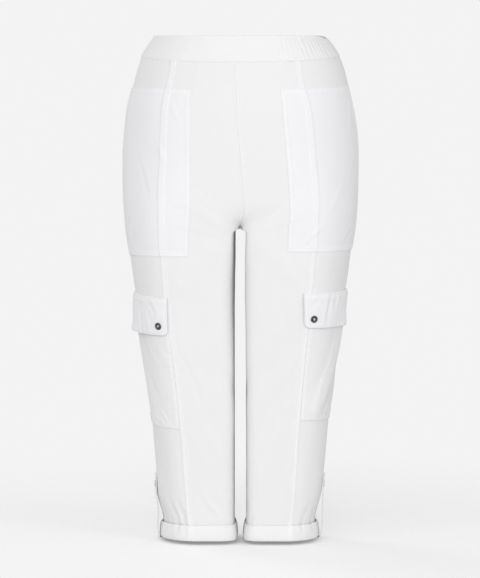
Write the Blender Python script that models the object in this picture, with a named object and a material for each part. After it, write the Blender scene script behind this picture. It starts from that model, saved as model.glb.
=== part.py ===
"""White cropped cargo trousers with a pull-on waistband, filled out as if worn, for Blender 4.5.

Lengths in the tables and functions are in centimetres, and solid() turns them into metres. +Z is up, the
garment faces -Y, and the wearer's left side, L, is +X. The origin is the middle of the waistband's ring.
A level of the garment is given by its drop, which is how far it lies below the waistband's top edge at
the side. A place around a level is given by u: 0 at the centre front or inseam, 1 at the side seam, 2 at the
centre back or inseam again.
"""

import math
from functools import lru_cache
from typing import NamedTuple

import bmesh
import bpy
import numpy as np
from mathutils import Matrix, Vector
from mathutils.bvhtree import BVHTree

CM = 0.01  # metres in a centimetre

# Cloth
SEAM_GAP = 0.03  # between two pieces that are sewn edge to edge, or that lie on each other
CLOTH = 0.15  # one layer of shell cloth with its seam allowance
BAND_CLOTH = 0.25  # a casing with an elastic in it
CUFF_CLOTH = 0.24  # a hem turned up twice

# Heights
BAND_HEIGHT = 3.75  # at the side, where the band leans outwards
BAND_MIDDLE = BAND_HEIGHT / 2
CROTCH = 32.9
THIGH = 34.4  # where the panels' solids round the hips meet those down the leg
CUFF_TOP = 83.7
HEM = 86.45  # the lowest edge of the cuffs

# The fork between the legs
HALF_GAP = 0.98  # from the middle to the inseam
GAP_CORNER = 0.8  # the height over which the gap reaches its full width
GAP_FADE = 9.0  # and the height over which the legs' rounded corners follow it
EDGE_RADIUS = 0.4  # of the cloth along the inseam
FRONT_FORK, FRONT_FORK_POWER = 6.5, 4.0  # height and squareness of the front crotch curve
BACK_FORK, BACK_FORK_POWER = 13.0, 2.6
THIGH_BLEND = 15.0  # the height over which the hips' oval turns into two thighs

# Squareness of the sections: 2 is an ellipse, and more is a rounder rectangle
HIP_POWER = 2.35
BACK_SQUARENESS = 0.25  # how much of the front's squareness the back has between itself and its inseam
OUTSEAM_POWER = 2.25


class Level(NamedTuple):
    """The size of the garment at one drop."""

    drop: float
    outer: float  # from the middle to the side seam
    front: float  # from the middle plane to the front
    back: float
    dip: float  # how much lower this level runs at the front and back than at the side
    square: float  # the squareness of the leg's section between its front and its inseam


LEVELS = (
    Level(0.0, 14.75, 11.0, 10.8, 0.0, 6.5),
    Level(1.7, 15.75, 11.3, 11.1, 0.4, 6.5),
    Level(3.75, 17.0, 11.8, 11.7, 0.75, 6.5),
    Level(7.8, 18.25, 12.5, 12.8, 0.4, 6.5),
    Level(13.0, 19.45, 13.0, 14.2, 0.2, 6.5),
    Level(20.8, 20.05, 12.9, 15.0, 0.05, 6.5),
    Level(27.0, 20.0, 12.4, 13.8, 0.0, 6.5),
    Level(32.9, 19.6, 11.7, 11.6, 0.0, 6.5),
    Level(38.2, 18.85, 11.2, 10.3, 0.0, 7.2),
    Level(43.3, 18.15, 10.7, 9.7, 0.0, 7.8),
    Level(52.8, 16.65, 9.8, 8.9, 0.0, 8.0),
    Level(59.7, 15.75, 9.2, 8.5, 0.0, 8.0),
    Level(66.6, 15.15, 8.6, 8.2, 0.0, 7.8),
    Level(73.5, 14.6, 8.0, 8.0, 0.0, 7.4),
    Level(79.0, 14.0, 7.5, 7.8, 0.0, 7.0),
    Level(83.0, 13.0, 7.2, 7.5, 0.0, 6.5),
    Level(87.0, 12.75, 7.1, 7.4, 0.0, 6.5),
)


class Line(NamedTuple):
    """Where the lines of the front run at one drop, from the middle."""

    drop: float
    pocket: float  # the front pocket's inner edge, and the middle of the leg below it
    princess: float  # the long seam from the waistband to the hem


LINES = (
    Line(3.75, 7.4, 10.6),
    Line(13.3, 7.8, 12.2),
    Line(20.8, 8.1, 12.65),
    Line(26.8, 8.35, 13.05),
    Line(33.7, 8.45, 12.95),
    Line(38.9, 8.35, 12.6),
    Line(44.8, 8.0, 12.05),
    Line(52.8, 7.4, 11.1),
    Line(61.4, 6.8, 10.2),
    Line(68.3, 6.4, 9.65),
    Line(74.4, 6.0, 9.25),
    Line(79.6, 5.8, 8.9),
    Line(87.0, 5.4, 8.35),
)


class Worn(NamedTuple):
    """How the garment sits on its form at one drop."""

    drop: float
    twist: float  # degrees it is turned about the middle
    bow: float  # how far the centre front seam swings to the wearer's left


WORN = (
    Worn(0.0, -4.2, 0.0),
    Worn(5.2, -4.6, 0.15),
    Worn(13.3, -3.9, 0.35),
    Worn(20.8, -2.8, 0.65),
    Worn(26.8, -2.2, 0.95),
    Worn(29.5, -2.2, 1.15),
    Worn(32.9, -2.2, 0.35),
    Worn(38.0, -2.3, 0.1),
    Worn(44.6, -2.6, 0.0),
    Worn(52.0, -1.6, 0.0),
    Worn(66.0, -0.6, 0.0),
    Worn(76.0, -0.5, 0.0),
    Worn(87.0, -0.4, 0.0),
)


class Mouth(NamedTuple):
    """The front pocket's outer edge, where the hand goes in: its u at one drop."""

    drop: float
    u: float


MOUTH = (Mouth(3.75, 0.9), Mouth(9.0, 0.905), Mouth(17.6, 0.975), Mouth(24.0, 0.985), Mouth(87.0, 0.985))


class Tilt(NamedTuple):
    """How much lower a level of one leg runs at its front than at its side."""

    drop: float
    tilt: float


class Side(NamedTuple):
    """One side of the garment, with the small differences of how it sits."""

    name: str
    sign: int
    pocket_top: float
    pocket_bottom: float
    flap_top: float
    flap_bottom: float
    flap_inset: float  # how far outside the princess seam the flap's front edge starts
    flap_bow: float  # how far the flap's lower edge stands off at the side
    cargo_bottom: float
    tab_turn: float  # how far behind the side seam the tab sits, in u
    tilts: tuple


RIGHT = Side(
    "R", -1, 9.0, 37.5, 43.85, 50.3, -0.2, 0.72, 66.2, -0.03,
    (
        Tilt(0.0, 0.0),
        Tilt(BAND_HEIGHT, 0.0),
        Tilt(9.0, -0.3),
        Tilt(20.0, 0.0),
        Tilt(37.5, -0.15),
        Tilt(43.85, 0.55),
        Tilt(50.3, 0.6),
        Tilt(66.2, 0.8),
        Tilt(80.0, 0.0),
        Tilt(87.0, 0.0),
    ),
)
LEFT = Side(
    "L", 1, 8.5, 36.5, 43.45, 49.5, -0.95, 0.0, 65.8, -0.03,
    (
        Tilt(0.0, 0.0),
        Tilt(BAND_HEIGHT, 0.0),
        Tilt(8.5, 0.25),
        Tilt(20.0, 0.0),
        Tilt(36.5, 0.0),
        Tilt(43.45, 0.1),
        Tilt(49.5, 0.0),
        Tilt(65.8, -0.3),
        Tilt(80.0, 0.0),
        Tilt(87.0, 0.0),
    ),
)

# Cargo pocket and flap
CARGO_EDGE = 0.4  # from the princess seam to the pocket's front edge
CARGO_MOUTH = 1.1  # from the flap's seam down to the pocket's upper edge
CARGO_PUFF = 0.22  # how far the pocket's middle stands off the leg
FLAP_CLOTH = 0.18
FLAP_CORNER = 0.9  # radius of the flap's lower corners
SNAP_INSET, SNAP_RISE = 1.55, 1.6  # from the flap's side and lower edges to the snap's centre

# Roll-up tabs
TAB_WIDTH = 2.2
TAB_CLOTH = 0.15
TAB_POINT = 1.0  # length of the tapered end
BUTTON_DROP = 77.2


class TabPlace(NamedTuple):
    """A point of the tab's middle line: how far it lies outside the leg's surface, and its drop."""

    out: float
    drop: float


TAB_START = (
    TabPlace(-0.5, 77.0),
    TabPlace(-0.5, 82.0),
    TabPlace(-0.5, 86.3),
    TabPlace(-0.4, 86.54),
    TabPlace(0.0, 86.59),
    TabPlace(0.6, 86.59),
    TabPlace(0.95, 86.51),
    TabPlace(1.06, 86.15),
)
TAB_MIDDLES = {  # past the cuff and back to the leg
    "R": (
        TabPlace(1.14, 85.2),
        TabPlace(1.08, 84.2),
        TabPlace(0.9, 83.2),
        TabPlace(0.68, 82.1),
        TabPlace(0.42, 80.8),
        TabPlace(0.24, 79.4),
        TabPlace(0.18, 78.3),
    ),
    "L": (
        TabPlace(1.16, 85.2),
        TabPlace(1.26, 84.2),
        TabPlace(1.25, 83.2),
        TabPlace(1.08, 82.1),
        TabPlace(0.76, 80.8),
        TabPlace(0.4, 79.4),
        TabPlace(0.2, 78.3),
    ),
}
TAB_END = (
    TabPlace(0.17, 77.2),
    TabPlace(0.17, 76.2),
    TabPlace(0.17, 75.3),
)


class Fold(NamedTuple):
    """A soft fold of one side, along a line between two places. A place is a drop, and how far around the
    surface it lies from the side seam, with the front as more than nothing."""

    side: str
    from_drop: float
    from_seam: float
    to_drop: float
    to_seam: float
    height: float  # less than nothing for a trough
    width: float  # from the fold's crest to where it fades


FOLDS = (
    # the thigh pocket's front, which stands off along a slanting line
    Fold("L", 49.0, 1.3, 64.0, 7.4, 0.42, 2.4),
    Fold("R", 50.5, 1.0, 65.0, 5.2, 0.38, 2.4),
    # drag lines from the crotch
    Fold("L", 32.0, 24.0, 26.0, 19.5, -0.15, 2.2),
    Fold("R", 32.4, 24.0, 27.6, 19.0, 0.12, 2.2),
    Fold("L", 36.0, 22.0, 40.5, 16.5, 0.14, 2.2),
    Fold("R", 36.6, 21.5, 42.0, 16.0, 0.14, 2.4),
    # below the seat
    Fold("L", 35.0, -21.5, 37.5, -10.0, 0.28, 2.2),
    Fold("L", 38.8, -21.5, 40.5, -12.0, -0.2, 2.2),
    Fold("R", 34.6, -22.0, 37.2, -11.0, 0.26, 2.2),
    Fold("R", 39.4, -20.5, 40.2, -11.5, -0.22, 2.4),
    # behind the knees
    Fold("L", 56.0, -20.0, 57.2, -9.5, 0.24, 2.0),
    Fold("L", 60.8, -18.5, 59.6, -8.5, 0.22, 2.0),
    Fold("R", 55.4, -19.0, 57.6, -10.0, 0.26, 2.0),
    Fold("R", 61.4, -20.0, 60.2, -9.0, 0.2, 2.2),
    # the front of the knees
    Fold("L", 57.0, 17.5, 60.5, 22.5, -0.14, 2.6),
    Fold("R", 56.0, 16.5, 60.0, 22.0, -0.14, 2.6),
    # above the cuffs, where the right leg is fuller at its side
    Fold("R", 79.6, 0.0, 87.0, 0.0, 0.42, 4.5),
    Fold("L", 76.0, 4.5, 82.0, 6.0, 0.14, 1.8),
    Fold("R", 75.0, 3.6, 82.0, 5.6, 0.16, 1.8),
    Fold("L", 77.0, -6.5, 82.0, -9.0, 0.15, 1.8),
    Fold("R", 76.0, -7.5, 82.0, -10.5, 0.15, 1.8),
)

# Gathers of the waistband
FLAT_FRONT = 5.6  # half the width of the smooth middle of the front
GATHER_RAMP = 2.5  # how fast the gathers grow beside it
GATHER_LENGTH = 1.1
GATHER_DEPTH = 0.14
COLUMNS_PER_GATHER = 4
BAND_SAG = 0.75  # how far the band's top edge has slipped down at the wearer's left
SAG_PLACE, SAG_REACH = 0.97, 0.16  # its u, and how far it spreads

PROFILE_POINTS = 241  # samples along half a section


def smooth(table, column, drop):
    """A column of a table at a drop, along a curve that doesn't overshoot between the rows."""
    xs = [row.drop for row in table]
    ys = [getattr(row, column) for row in table]
    drop = min(max(drop, xs[0]), xs[-1])
    k = max(i for i in range(len(xs) - 1) if xs[i] <= drop or i == 0)
    slopes = [(ys[i + 1] - ys[i]) / (xs[i + 1] - xs[i]) for i in range(len(xs) - 1)]

    def tangent(i):
        if i in (0, len(xs) - 1) or slopes[i - 1] * slopes[i] <= 0:
            return 0.0
        return 2 * slopes[i - 1] * slopes[i] / (slopes[i - 1] + slopes[i])

    width = xs[k + 1] - xs[k]
    t = (drop - xs[k]) / width
    return (
        ys[k] * (1 + 2 * t) * (1 - t) ** 2
        + ys[k + 1] * t * t * (3 - 2 * t)
        + tangent(k) * width * t * (1 - t) ** 2
        - tangent(k + 1) * width * t * t * (1 - t)
    )


def ease(t):
    t = min(max(t, 0.0), 1.0)
    return t * t * (3 - 2 * t)


def fork(height, reach, power):
    """0 at the crotch point and 1 at the top of the crotch curve."""
    if height <= 0:
        return 0.0
    if height >= reach:
        return 1.0
    return (1 - (1 - height / reach) ** power) ** (1 / power)


def inseam(drop):
    """From the middle to the inseam: nothing above the crotch, and half the gap below its rounded corner."""
    t = min(max((drop - CROTCH) / GAP_CORNER, 0.0), 1.0)
    return HALF_GAP * math.sqrt(1 - (1 - t) ** 2)


@lru_cache(maxsize=None)
def half_section(drop, behind):
    """The front or back half of one leg's section, or of half the hips, from the middle or inseam to the side
    seam: x, y, how far each point is towards the front or back from 0 to 1, the length of the arc up to it, and
    its angle around the leg."""
    outer, inner = smooth(LEVELS, "outer", drop), inseam(drop)
    front, back = smooth(LEVELS, "front", drop), smooth(LEVELS, "back", drop)
    side_y, depth = (back - front) / 2, (back + front) / 2
    height = CROTCH - drop
    middle = (outer + HALF_GAP * ease(0.5 - height / THIGH_BLEND)) / 2
    angle = math.pi * (0.5 - 0.5 * np.cos(np.linspace(0, math.pi, PROFILE_POINTS)))
    near = np.cos(angle) > 0
    square = smooth(LEVELS, "square", drop)
    power = np.where(near, 2 + (square - 2) * (BACK_SQUARENESS if behind else 1), OUTSEAM_POWER)
    radius = np.where(near, middle - inner, outer - middle)
    x = middle - radius * np.sign(np.cos(angle)) * np.abs(np.cos(angle)) ** (2 / power)
    leg = np.abs(np.sin(angle)) ** (2 / power)
    hips = np.clip(1 - np.clip(x / outer, 0, 1) ** HIP_POWER, 0, 1) ** (1 / HIP_POWER)
    joined = fork(height, *((BACK_FORK, BACK_FORK_POWER) if behind else (FRONT_FORK, FRONT_FORK_POWER)))
    past_fork = radius * (1 - (1 - np.minimum(joined**power, 1)) ** (1 / power))
    rounded_from = HALF_GAP * ease(-height / GAP_FADE)
    corner = 1.0  # the leg's rounded corner, carried up and around the crotch point
    corners = ((rounded_from, middle - rounded_from, power), (inner, EDGE_RADIUS, 3.0))
    for start, reach, roundness in corners:
        away = np.clip(np.hypot(x - start, past_fork) / reach, 0, 1)
        corner = corner * (1 - (1 - away) ** roundness) ** (1 / roundness)
    as_hips = ease(height / THIGH_BLEND)
    reach = np.where(near, corner * (as_hips * hips + 1 - as_hips), as_hips * hips + (1 - as_hips) * leg)
    y = side_y + depth * reach * (1 if behind else -1)
    along = np.concatenate([[0], np.cumsum(np.hypot(np.diff(x), np.diff(y)))])
    return x, y, reach, along, np.degrees(angle)


def arc_length(drop, behind=False):
    return half_section(round(drop, 4), behind)[3][-1]


def u_at_x(drop, x):
    """The place around the front whose distance from the middle is x."""
    xs, _, _, along, _ = half_section(round(drop, 4), False)
    return float(np.interp(x, xs, along) / along[-1])


def share_at_angle(drop, degrees, behind):
    """How far around the front or back a direction from the leg's middle is: 0 at the inseam, 1 at the side."""
    _, _, _, along, angles = half_section(round(drop, 4), behind)
    return float(np.interp(degrees, angles, along) / along[-1])


def fold_height(side, drop, u):
    """How far the folds lift the cloth at a place."""
    here = np.array((drop, (1 - u) * arc_length(drop, behind=u > 1)))
    total = 0.0
    for fold in FOLDS:
        if fold.side != side.name:
            continue
        start = np.array((fold.from_drop, fold.from_seam))
        way = np.array((fold.to_drop, fold.to_seam)) - start
        t = min(max(float(np.dot(here - start, way) / np.dot(way, way)), 0.0), 1.0)
        away = np.linalg.norm(here - start - way * t) / fold.width
        total += fold.height * math.exp(-2 * away * away)
    return total


def level_point(side, drop, u):
    """A point of the garment's surface before it is folded and turned as worn."""
    behind = u > 1
    xs, ys, reach, along, _ = half_section(round(drop, 4), behind)
    s = (2 - u if behind else u) * along[-1]
    x, y, r = (float(np.interp(s, along, column)) for column in (xs, ys, reach))
    forward = -r if behind else r
    lower = smooth(LEVELS, "dip", drop) * forward**2 + smooth(side.tilts, "tilt", drop) * forward
    return np.array([side.sign * x, y, BAND_MIDDLE - drop - lower])


def as_worn(point):
    """Turns a point about the middle, and swings the centre front, as the garment sits on its form."""
    x, y, z = point
    drop = BAND_MIDDLE - z
    angle = math.radians(smooth(WORN, "twist", drop))
    near_middle = math.exp(-((x / 8.5) ** 2)) * min(max(-y / 12, 0.0), 1.0)
    x += smooth(WORN, "bow", drop) * near_middle
    return np.array([x * math.cos(angle) - y * math.sin(angle), x * math.sin(angle) + y * math.cos(angle), z])


def surface(side, drop, u, out=0.0, level=False):
    """A point that lies out from the garment's surface, as worn. A level one is moved out without rising."""
    step_u, step_drop = 0.006, 0.12
    across = level_point(side, drop, u + step_u) - level_point(side, drop, u - step_u)
    down = level_point(side, drop + step_drop, u) - level_point(side, drop - step_drop, u)
    normal = np.cross(down, across) * side.sign
    if level:
        normal[2] = 0.0
    lifted = out + fold_height(side, drop, u)
    return as_worn(level_point(side, drop, u) + normal / np.linalg.norm(normal) * lifted)


# Columns: the places around a leg that every level shares, so that a pocket lies on the panel's own facets.
class Column(NamedTuple):
    """A column beside the centre seam or inseam."""

    share: float  # at the hips, of the way from the middle to the front pocket or the cargo pocket's back edge
    angle: float  # which way it lies from the leg's middle below the crotch, in degrees from the inseam


FRONT_COLUMNS = (
    Column(0.0, 0.0), Column(0.09, 12.0), Column(0.25, 32.0), Column(0.45, 52.0), Column(0.68, 70.0)
)
BACK_COLUMNS = (
    Column(0.84, 84.0),
    Column(0.68, 68.0),
    Column(0.52, 52.0),
    Column(0.36, 36.0),
    Column(0.2, 20.0),
    Column(0.08, 6.0),
    Column(0.0, 0.0),
)
POCKET_COLUMN = len(FRONT_COLUMNS)
PRINCESS_COLUMN = POCKET_COLUMN + 2
MOUTH_COLUMN = PRINCESS_COLUMN + 3
SIDE_COLUMN = MOUTH_COLUMN + 1
CARGO_BACK_COLUMN = SIDE_COLUMN + 4
LAST_COLUMN = CARGO_BACK_COLUMN + len(BACK_COLUMNS)


def columns(drop):
    """The u of every column at a drop."""
    pocket = u_at_x(drop, smooth(LINES, "pocket", drop))
    princess = u_at_x(drop, smooth(LINES, "princess", drop))
    mouth = max(smooth(MOUTH, "u", drop), princess + 0.06)
    cargo_back = 1 + (1 - princess) * arc_length(drop) / arc_length(drop, behind=True)
    as_hips = ease((CROTCH - drop) / THIGH_BLEND)

    def beside_inseam(column, reach, behind):
        return as_hips * column.share * reach + (1 - as_hips) * share_at_angle(drop, column.angle, behind)

    us = [beside_inseam(column, pocket, False) for column in FRONT_COLUMNS]
    us += [pocket + (princess - pocket) * t for t in (0, 0.5, 1)]
    us += [princess + (mouth - princess) * t / 3 for t in (1, 2, 3)]
    us += [1.0]
    us += [1 + (cargo_back - 1) * t / 4 for t in (1, 2, 3, 4)]
    us += [2 - beside_inseam(column, 2 - cargo_back, True) for column in BACK_COLUMNS]
    return us


def rows(side):
    """The drops of a side's rows: the pockets' edges, with even steps between, and close ones at the crotch."""
    top, bottom = BAND_HEIGHT + SEAM_GAP, HEM - CUFF_CLOTH - 2 * SEAM_GAP
    fork_rows = [CROTCH + step for step in (-7.4, -5.2, -3.4, -2.1, -1.1, -0.4, 0.0, 0.22, 0.6)]
    fork_rows += [THIGH, THIGH + SEAM_GAP]
    return (
        [top, 6.2, side.pocket_top, 12.2, 15.2, 18.4, 21.9]
        + fork_rows
        + [side.pocket_bottom, 41.0, side.flap_top, side.flap_top + CARGO_MOUTH, side.flap_bottom]
        + [54.6, 58.6, 62.7, side.cargo_bottom, 70.5, 74.0, 77.4, 80.2, 82.4, CUFF_TOP, bottom]
    )


class SideGrid:
    """The points of one side's surface, row by row, with the direction out of the cloth at each."""

    def __init__(self, side):
        self.side = side
        self.drops = rows(side)
        us = [columns(drop) for drop in self.drops]
        shape = (len(self.drops), LAST_COLUMN + 1, 3)
        flat = [level_point(side, drop, u) for drop, row in zip(self.drops, us) for u in row]
        lifts = [fold_height(side, drop, u) for drop, row in zip(self.drops, us) for u in row]
        self.points = np.array(flat).reshape(shape)
        self.points += self.directions_out() * np.array(lifts).reshape(shape[:2])[..., None]
        self.normals = self.directions_out()

    def directions_out(self):
        """Across the middle a row goes on as its mirror image, and below the crotch as its own other end."""
        p = self.points
        left, right = np.roll(p, 1, axis=1), np.roll(p, -1, axis=1)
        for i, drop in enumerate(self.drops):
            if drop >= CROTCH:
                left[i, 0], right[i, -1] = p[i, -2], p[i, 1]
            else:
                left[i, 0], right[i, -1] = p[i, 1] * (-1, 1, 1), p[i, -2] * (-1, 1, 1)
        above = np.concatenate([p[:1], p[:-1]])
        below = np.concatenate([p[1:], p[-1:]])
        out = np.cross(below - above, right - left) * self.side.sign
        out[0, :, 2] = 0.0  # the edge that meets the waistband is cut level
        return out / np.linalg.norm(out, axis=2, keepdims=True)

    def row(self, drop):
        return self.drops.index(drop)

    def layer(self, row_span, column_span, out, edge_gaps=(0.0, 0.0)):
        """The points of a patch of the grid, moved out, with its outer columns drawn in by edge_gaps."""
        (top, bottom), (first, last) = row_span, column_span
        rows_used, used = slice(top, bottom + 1), slice(first, last + 1)
        base = self.points[rows_used, used].copy()
        normals = self.normals[rows_used, used].copy()
        for column, inward, gap in ((0, 1, edge_gaps[0]), (-1, -2, edge_gaps[1])):
            step = base[:, inward] - base[:, column]
            share = gap / np.linalg.norm(step, axis=1, keepdims=True)
            base[:, column] += step * share
            normals[:, column] += (normals[:, inward] - normals[:, column]) * share
        moved = base + normals * np.broadcast_to(out, base.shape[:2])[..., None]
        own_half = np.maximum(moved[..., 0] * self.side.sign, SEAM_GAP / 2)
        moved[..., 0] = own_half * self.side.sign
        return np.array([[as_worn(p) for p in row] for row in moved])


def material(name, color, roughness, metallic=0.0):
    made = bpy.data.materials.get(name) or bpy.data.materials.new(name)
    made.use_nodes = True
    shader = made.node_tree.nodes["Principled BSDF"]
    shader.inputs["Base Color"].default_value = (*color, 1.0)
    shader.inputs["Roughness"].default_value = roughness
    shader.inputs["Metallic"].default_value = metallic
    return made


WHITE_CLOTH = ("white cotton", (0.87, 0.87, 0.88), 0.9)
DARK_METAL = ("antique metal", (0.13, 0.125, 0.12), 0.35, 1.0)
WHITE_BUTTON = ("white button", (0.88, 0.88, 0.86), 0.35)


def solid(name, mesh, finish):
    """Puts a closed bmesh that is in centimetres into the scene as an object in metres."""
    bmesh.ops.scale(mesh, vec=(CM, CM, CM), verts=mesh.verts)
    bmesh.ops.recalc_face_normals(mesh, faces=mesh.faces)
    data = bpy.data.meshes.new(name)
    mesh.to_mesh(data)
    mesh.free()
    data.shade_smooth()
    data.set_sharp_from_angle(angle=math.radians(40))
    data.materials.append(material(*finish))
    made = bpy.data.objects.new(name, data)
    bpy.context.scene.collection.objects.link(made)
    return made


def cell(mesh, a, b, c, d):
    """A four-sided cell as two triangles, always cut along the same corner, so that layers stay parallel."""
    mesh.faces.new((a, b, c))
    mesh.faces.new((a, c, d))


def wall(name, outer, inner, finish, ring=False):
    """A closed wall between an outer and an inner sheet of points, with two ends or joined into a ring."""
    mesh = bmesh.new()
    sheets = [[[mesh.verts.new(p) for p in row] for row in sheet] for sheet in (outer, inner)]
    n_rows, n_columns = len(outer), len(outer[0])
    spans = [(j, (j + 1) % n_columns) for j in range(n_columns if ring else n_columns - 1)]
    out, back = sheets
    for j, k in spans:
        for i in range(n_rows - 1):
            cell(mesh, out[i][j], out[i + 1][j], out[i + 1][k], out[i][k])
            cell(mesh, back[i][j], back[i][k], back[i + 1][k], back[i + 1][j])
        cell(mesh, out[0][k], back[0][k], back[0][j], out[0][j])
        cell(mesh, out[-1][j], back[-1][j], back[-1][k], out[-1][k])
    if not ring:
        for i in range(n_rows - 1):
            cell(mesh, out[i][0], back[i][0], back[i + 1][0], out[i + 1][0])
            cell(mesh, out[i + 1][-1], back[i + 1][-1], back[i][-1], out[i][-1])
    return solid(name, mesh, finish)


def turned(name, profile, steps, place, direction, finish):
    """A small round piece turned from a profile of (radius, height), seated at a place, facing a direction."""
    mesh = bmesh.new()
    loop = [mesh.verts.new((radius, 0, height)) for radius, height in profile]
    edges = [mesh.edges.new(pair) for pair in zip(loop, loop[1:])]
    around = {"axis": (0, 0, 1), "cent": (0, 0, 0), "angle": 2 * math.pi}
    bmesh.ops.spin(mesh, geom=loop + edges, steps=steps, use_merge=True, **around)
    bmesh.ops.remove_doubles(mesh, verts=mesh.verts, dist=1e-4)
    turn = Vector(direction).to_track_quat("Z", "Y").to_matrix().to_4x4()
    bmesh.ops.transform(mesh, matrix=Matrix.Translation(place) @ turn, verts=mesh.verts)
    return solid(name, mesh, finish)


def face_under(carrier, point, direction):
    """Where a line through a point in centimetres first meets a piece from outside, and that facet's normal."""
    corners = [v.co / CM for v in carrier.data.vertices]
    tree = BVHTree.FromPolygons(corners, [tuple(p.vertices) for p in carrier.data.polygons])
    place, normal, _, _ = tree.ray_cast(Vector(point) + Vector(direction) * 3, -Vector(direction))
    return place, normal


def leg_panels(grid):
    """The three panels of a side: front, side front and back. Each is two solids: one round the hips, and one
    down the leg, which starts a little below the crotch."""
    half, thigh, last_row = SEAM_GAP / 2, grid.row(THIGH), len(grid.drops) - 1
    for name, first, last in (
        ("front", 0, PRINCESS_COLUMN),
        ("side_front", PRINCESS_COLUMN, SIDE_COLUMN),
        ("back", SIDE_COLUMN, LAST_COLUMN),
    ):
        for ending, rows_used in (("", (0, thigh)), ("_leg", (grid.row(THIGH + SEAM_GAP), last_row))):
            sheets = [grid.layer(rows_used, (first, last), out, (half, half)) for out in (0.0, -CLOTH)]
            wall(f"{name}{ending}_{grid.side.name}", *sheets, WHITE_CLOTH)


def front_pocket(grid):
    """The long patch that lies on the front and side front, with its mouth at the side."""
    span = (grid.row(grid.side.pocket_top), grid.row(grid.side.pocket_bottom))
    lines = (POCKET_COLUMN, MOUTH_COLUMN)
    sheets = [grid.layer(span, lines, out) for out in (SEAM_GAP + CLOTH, SEAM_GAP)]
    wall(f"front_pocket_{grid.side.name}", *sheets, WHITE_CLOTH)


def cargo_pocket(grid):
    """The thigh pocket: sewn flat along its sides and lower edge, and standing off a little between them."""
    side = grid.side
    span = (grid.row(side.flap_top + CARGO_MOUTH), grid.row(side.cargo_bottom))
    lines = (PRINCESS_COLUMN, CARGO_BACK_COLUMN)
    across = np.sin(np.linspace(0, math.pi, lines[1] - lines[0] + 1)) ** 0.7
    drops = np.array(grid.drops[span[0] : span[1] + 1])
    down = np.abs(np.sin(math.pi * (drops - drops[0]) / (drops[-1] - drops[0]))) ** 0.7
    puff = SEAM_GAP + CARGO_PUFF * np.outer(down, across)
    edges = (CARGO_EDGE, CARGO_EDGE)
    sheets = [grid.layer(span, lines, puff + out, edges) for out in (SEAM_GAP + CLOTH, SEAM_GAP)]
    wall(f"cargo_pocket_{side.name}", *sheets, WHITE_CLOTH)


def flap_edges(side, drop):
    """The u of the flap's front and back edges at a drop. The front edge hangs straight down, and both are
    drawn in around the lower corners."""
    rise = side.flap_bottom - drop
    corner = FLAP_CORNER - math.sqrt(FLAP_CORNER**2 - max(FLAP_CORNER - rise, 0.0) ** 2)
    front = u_at_x(drop, smooth(LINES, "princess", side.flap_top) + side.flap_inset)
    back = columns(drop)[CARGO_BACK_COLUMN]
    return front + corner / arc_length(drop), back - (0.1 + corner) / arc_length(drop, behind=True)


def flap_stand_off(side, drop, across):
    """How far the flap's inner face is from the leg: least at its seam, over the pocket, bowed at the side."""
    down = (drop - side.flap_top) / (side.flap_bottom - side.flap_top)
    puff = ease(down) * CARGO_PUFF * math.sin(math.pi * across) ** 0.7
    over_pocket = ease(down * 5.8) * (CLOTH + SEAM_GAP) + puff
    return 0.12 + over_pocket * 1.12 + side.flap_bow * down * math.sin(math.pi * across) ** 2


def cargo_flap(side):
    """The pocket's flap, with its two snaps."""
    height = side.flap_bottom - side.flap_top
    drops = [side.flap_top + height * t for t in (0, 0.17, 0.34, 0.6, 0.86, 0.93, 0.975, 1.0)]
    shares = np.linspace(0, 1, 13)
    sheets = []
    for extra in (FLAP_CLOTH, 0.0):
        sheet = []
        for drop in drops:
            first, last = flap_edges(side, drop)
            out = [flap_stand_off(side, drop, t) + extra for t in shares]
            sheet.append([surface(side, drop, first + (last - first) * t, o) for t, o in zip(shares, out)])
        sheets.append(sheet)
    flap = wall(f"cargo_flap_{side.name}", *sheets, WHITE_CLOTH)

    drop = side.flap_bottom - SNAP_RISE
    first, last = flap_edges(side, drop)
    for end, u in (
        ("front", first + SNAP_INSET / arc_length(drop)),
        ("back", last - SNAP_INSET / arc_length(drop, behind=True)),
    ):
        on_leg = surface(side, drop, u)
        away = surface(side, drop, u, 1.0) - on_leg
        place, normal = face_under(flap, on_leg, away)
        snap(f"snap_{side.name}_{end}", place, normal)


def snap(name, place, direction):
    """A ring-topped press stud, 12.5 mm across."""
    ring = ((0.62, 0.05), (0.62, 0.1), (0.54, 0.19), (0.4, 0.2), (0.27, 0.13), (0.2, 0.14))
    profile = ((0.0, 0.05), *ring, (0.0, 0.19))
    turned(name, profile, 14, place, direction, DARK_METAL)


def cuff(side):
    """The turned-up hem: a band that stands off the leg, folded in under the leg's lower edge."""
    lift = HEM - CUFF_CLOTH
    outer_profile = (
        (0.62, CUFF_TOP), (0.84, CUFF_TOP + 0.1), (0.86, 85.6), (0.84, HEM - 0.3), (0.6, HEM), (-CLOTH, HEM)
    )
    inner_profile = (
        (0.6, CUFF_TOP + 0.03), (0.58, CUFF_TOP + 0.3), (0.58, 85.6), (0.56, lift - 0.2), (0.4, lift), (-CLOTH, lift)
    )
    us = columns(CUFF_TOP + 1)[:-1]
    outer, inner = smooth(LEVELS, "outer", CUFF_TOP), HALF_GAP

    def ring(out, drop):
        made = []
        for u in us:
            x = abs(level_point(side, drop, u)[0])
            share = 0.62 + 0.38 * (x - inner) / (outer - inner)
            made.append(surface(side, drop, u, out * share if out > 0 else out))
        return made

    sheets = [[ring(out, drop) for out, drop in profile] for profile in (outer_profile, inner_profile)]
    wall(f"cuff_{side.name}", *sheets, WHITE_CLOTH, ring=True)


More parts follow.
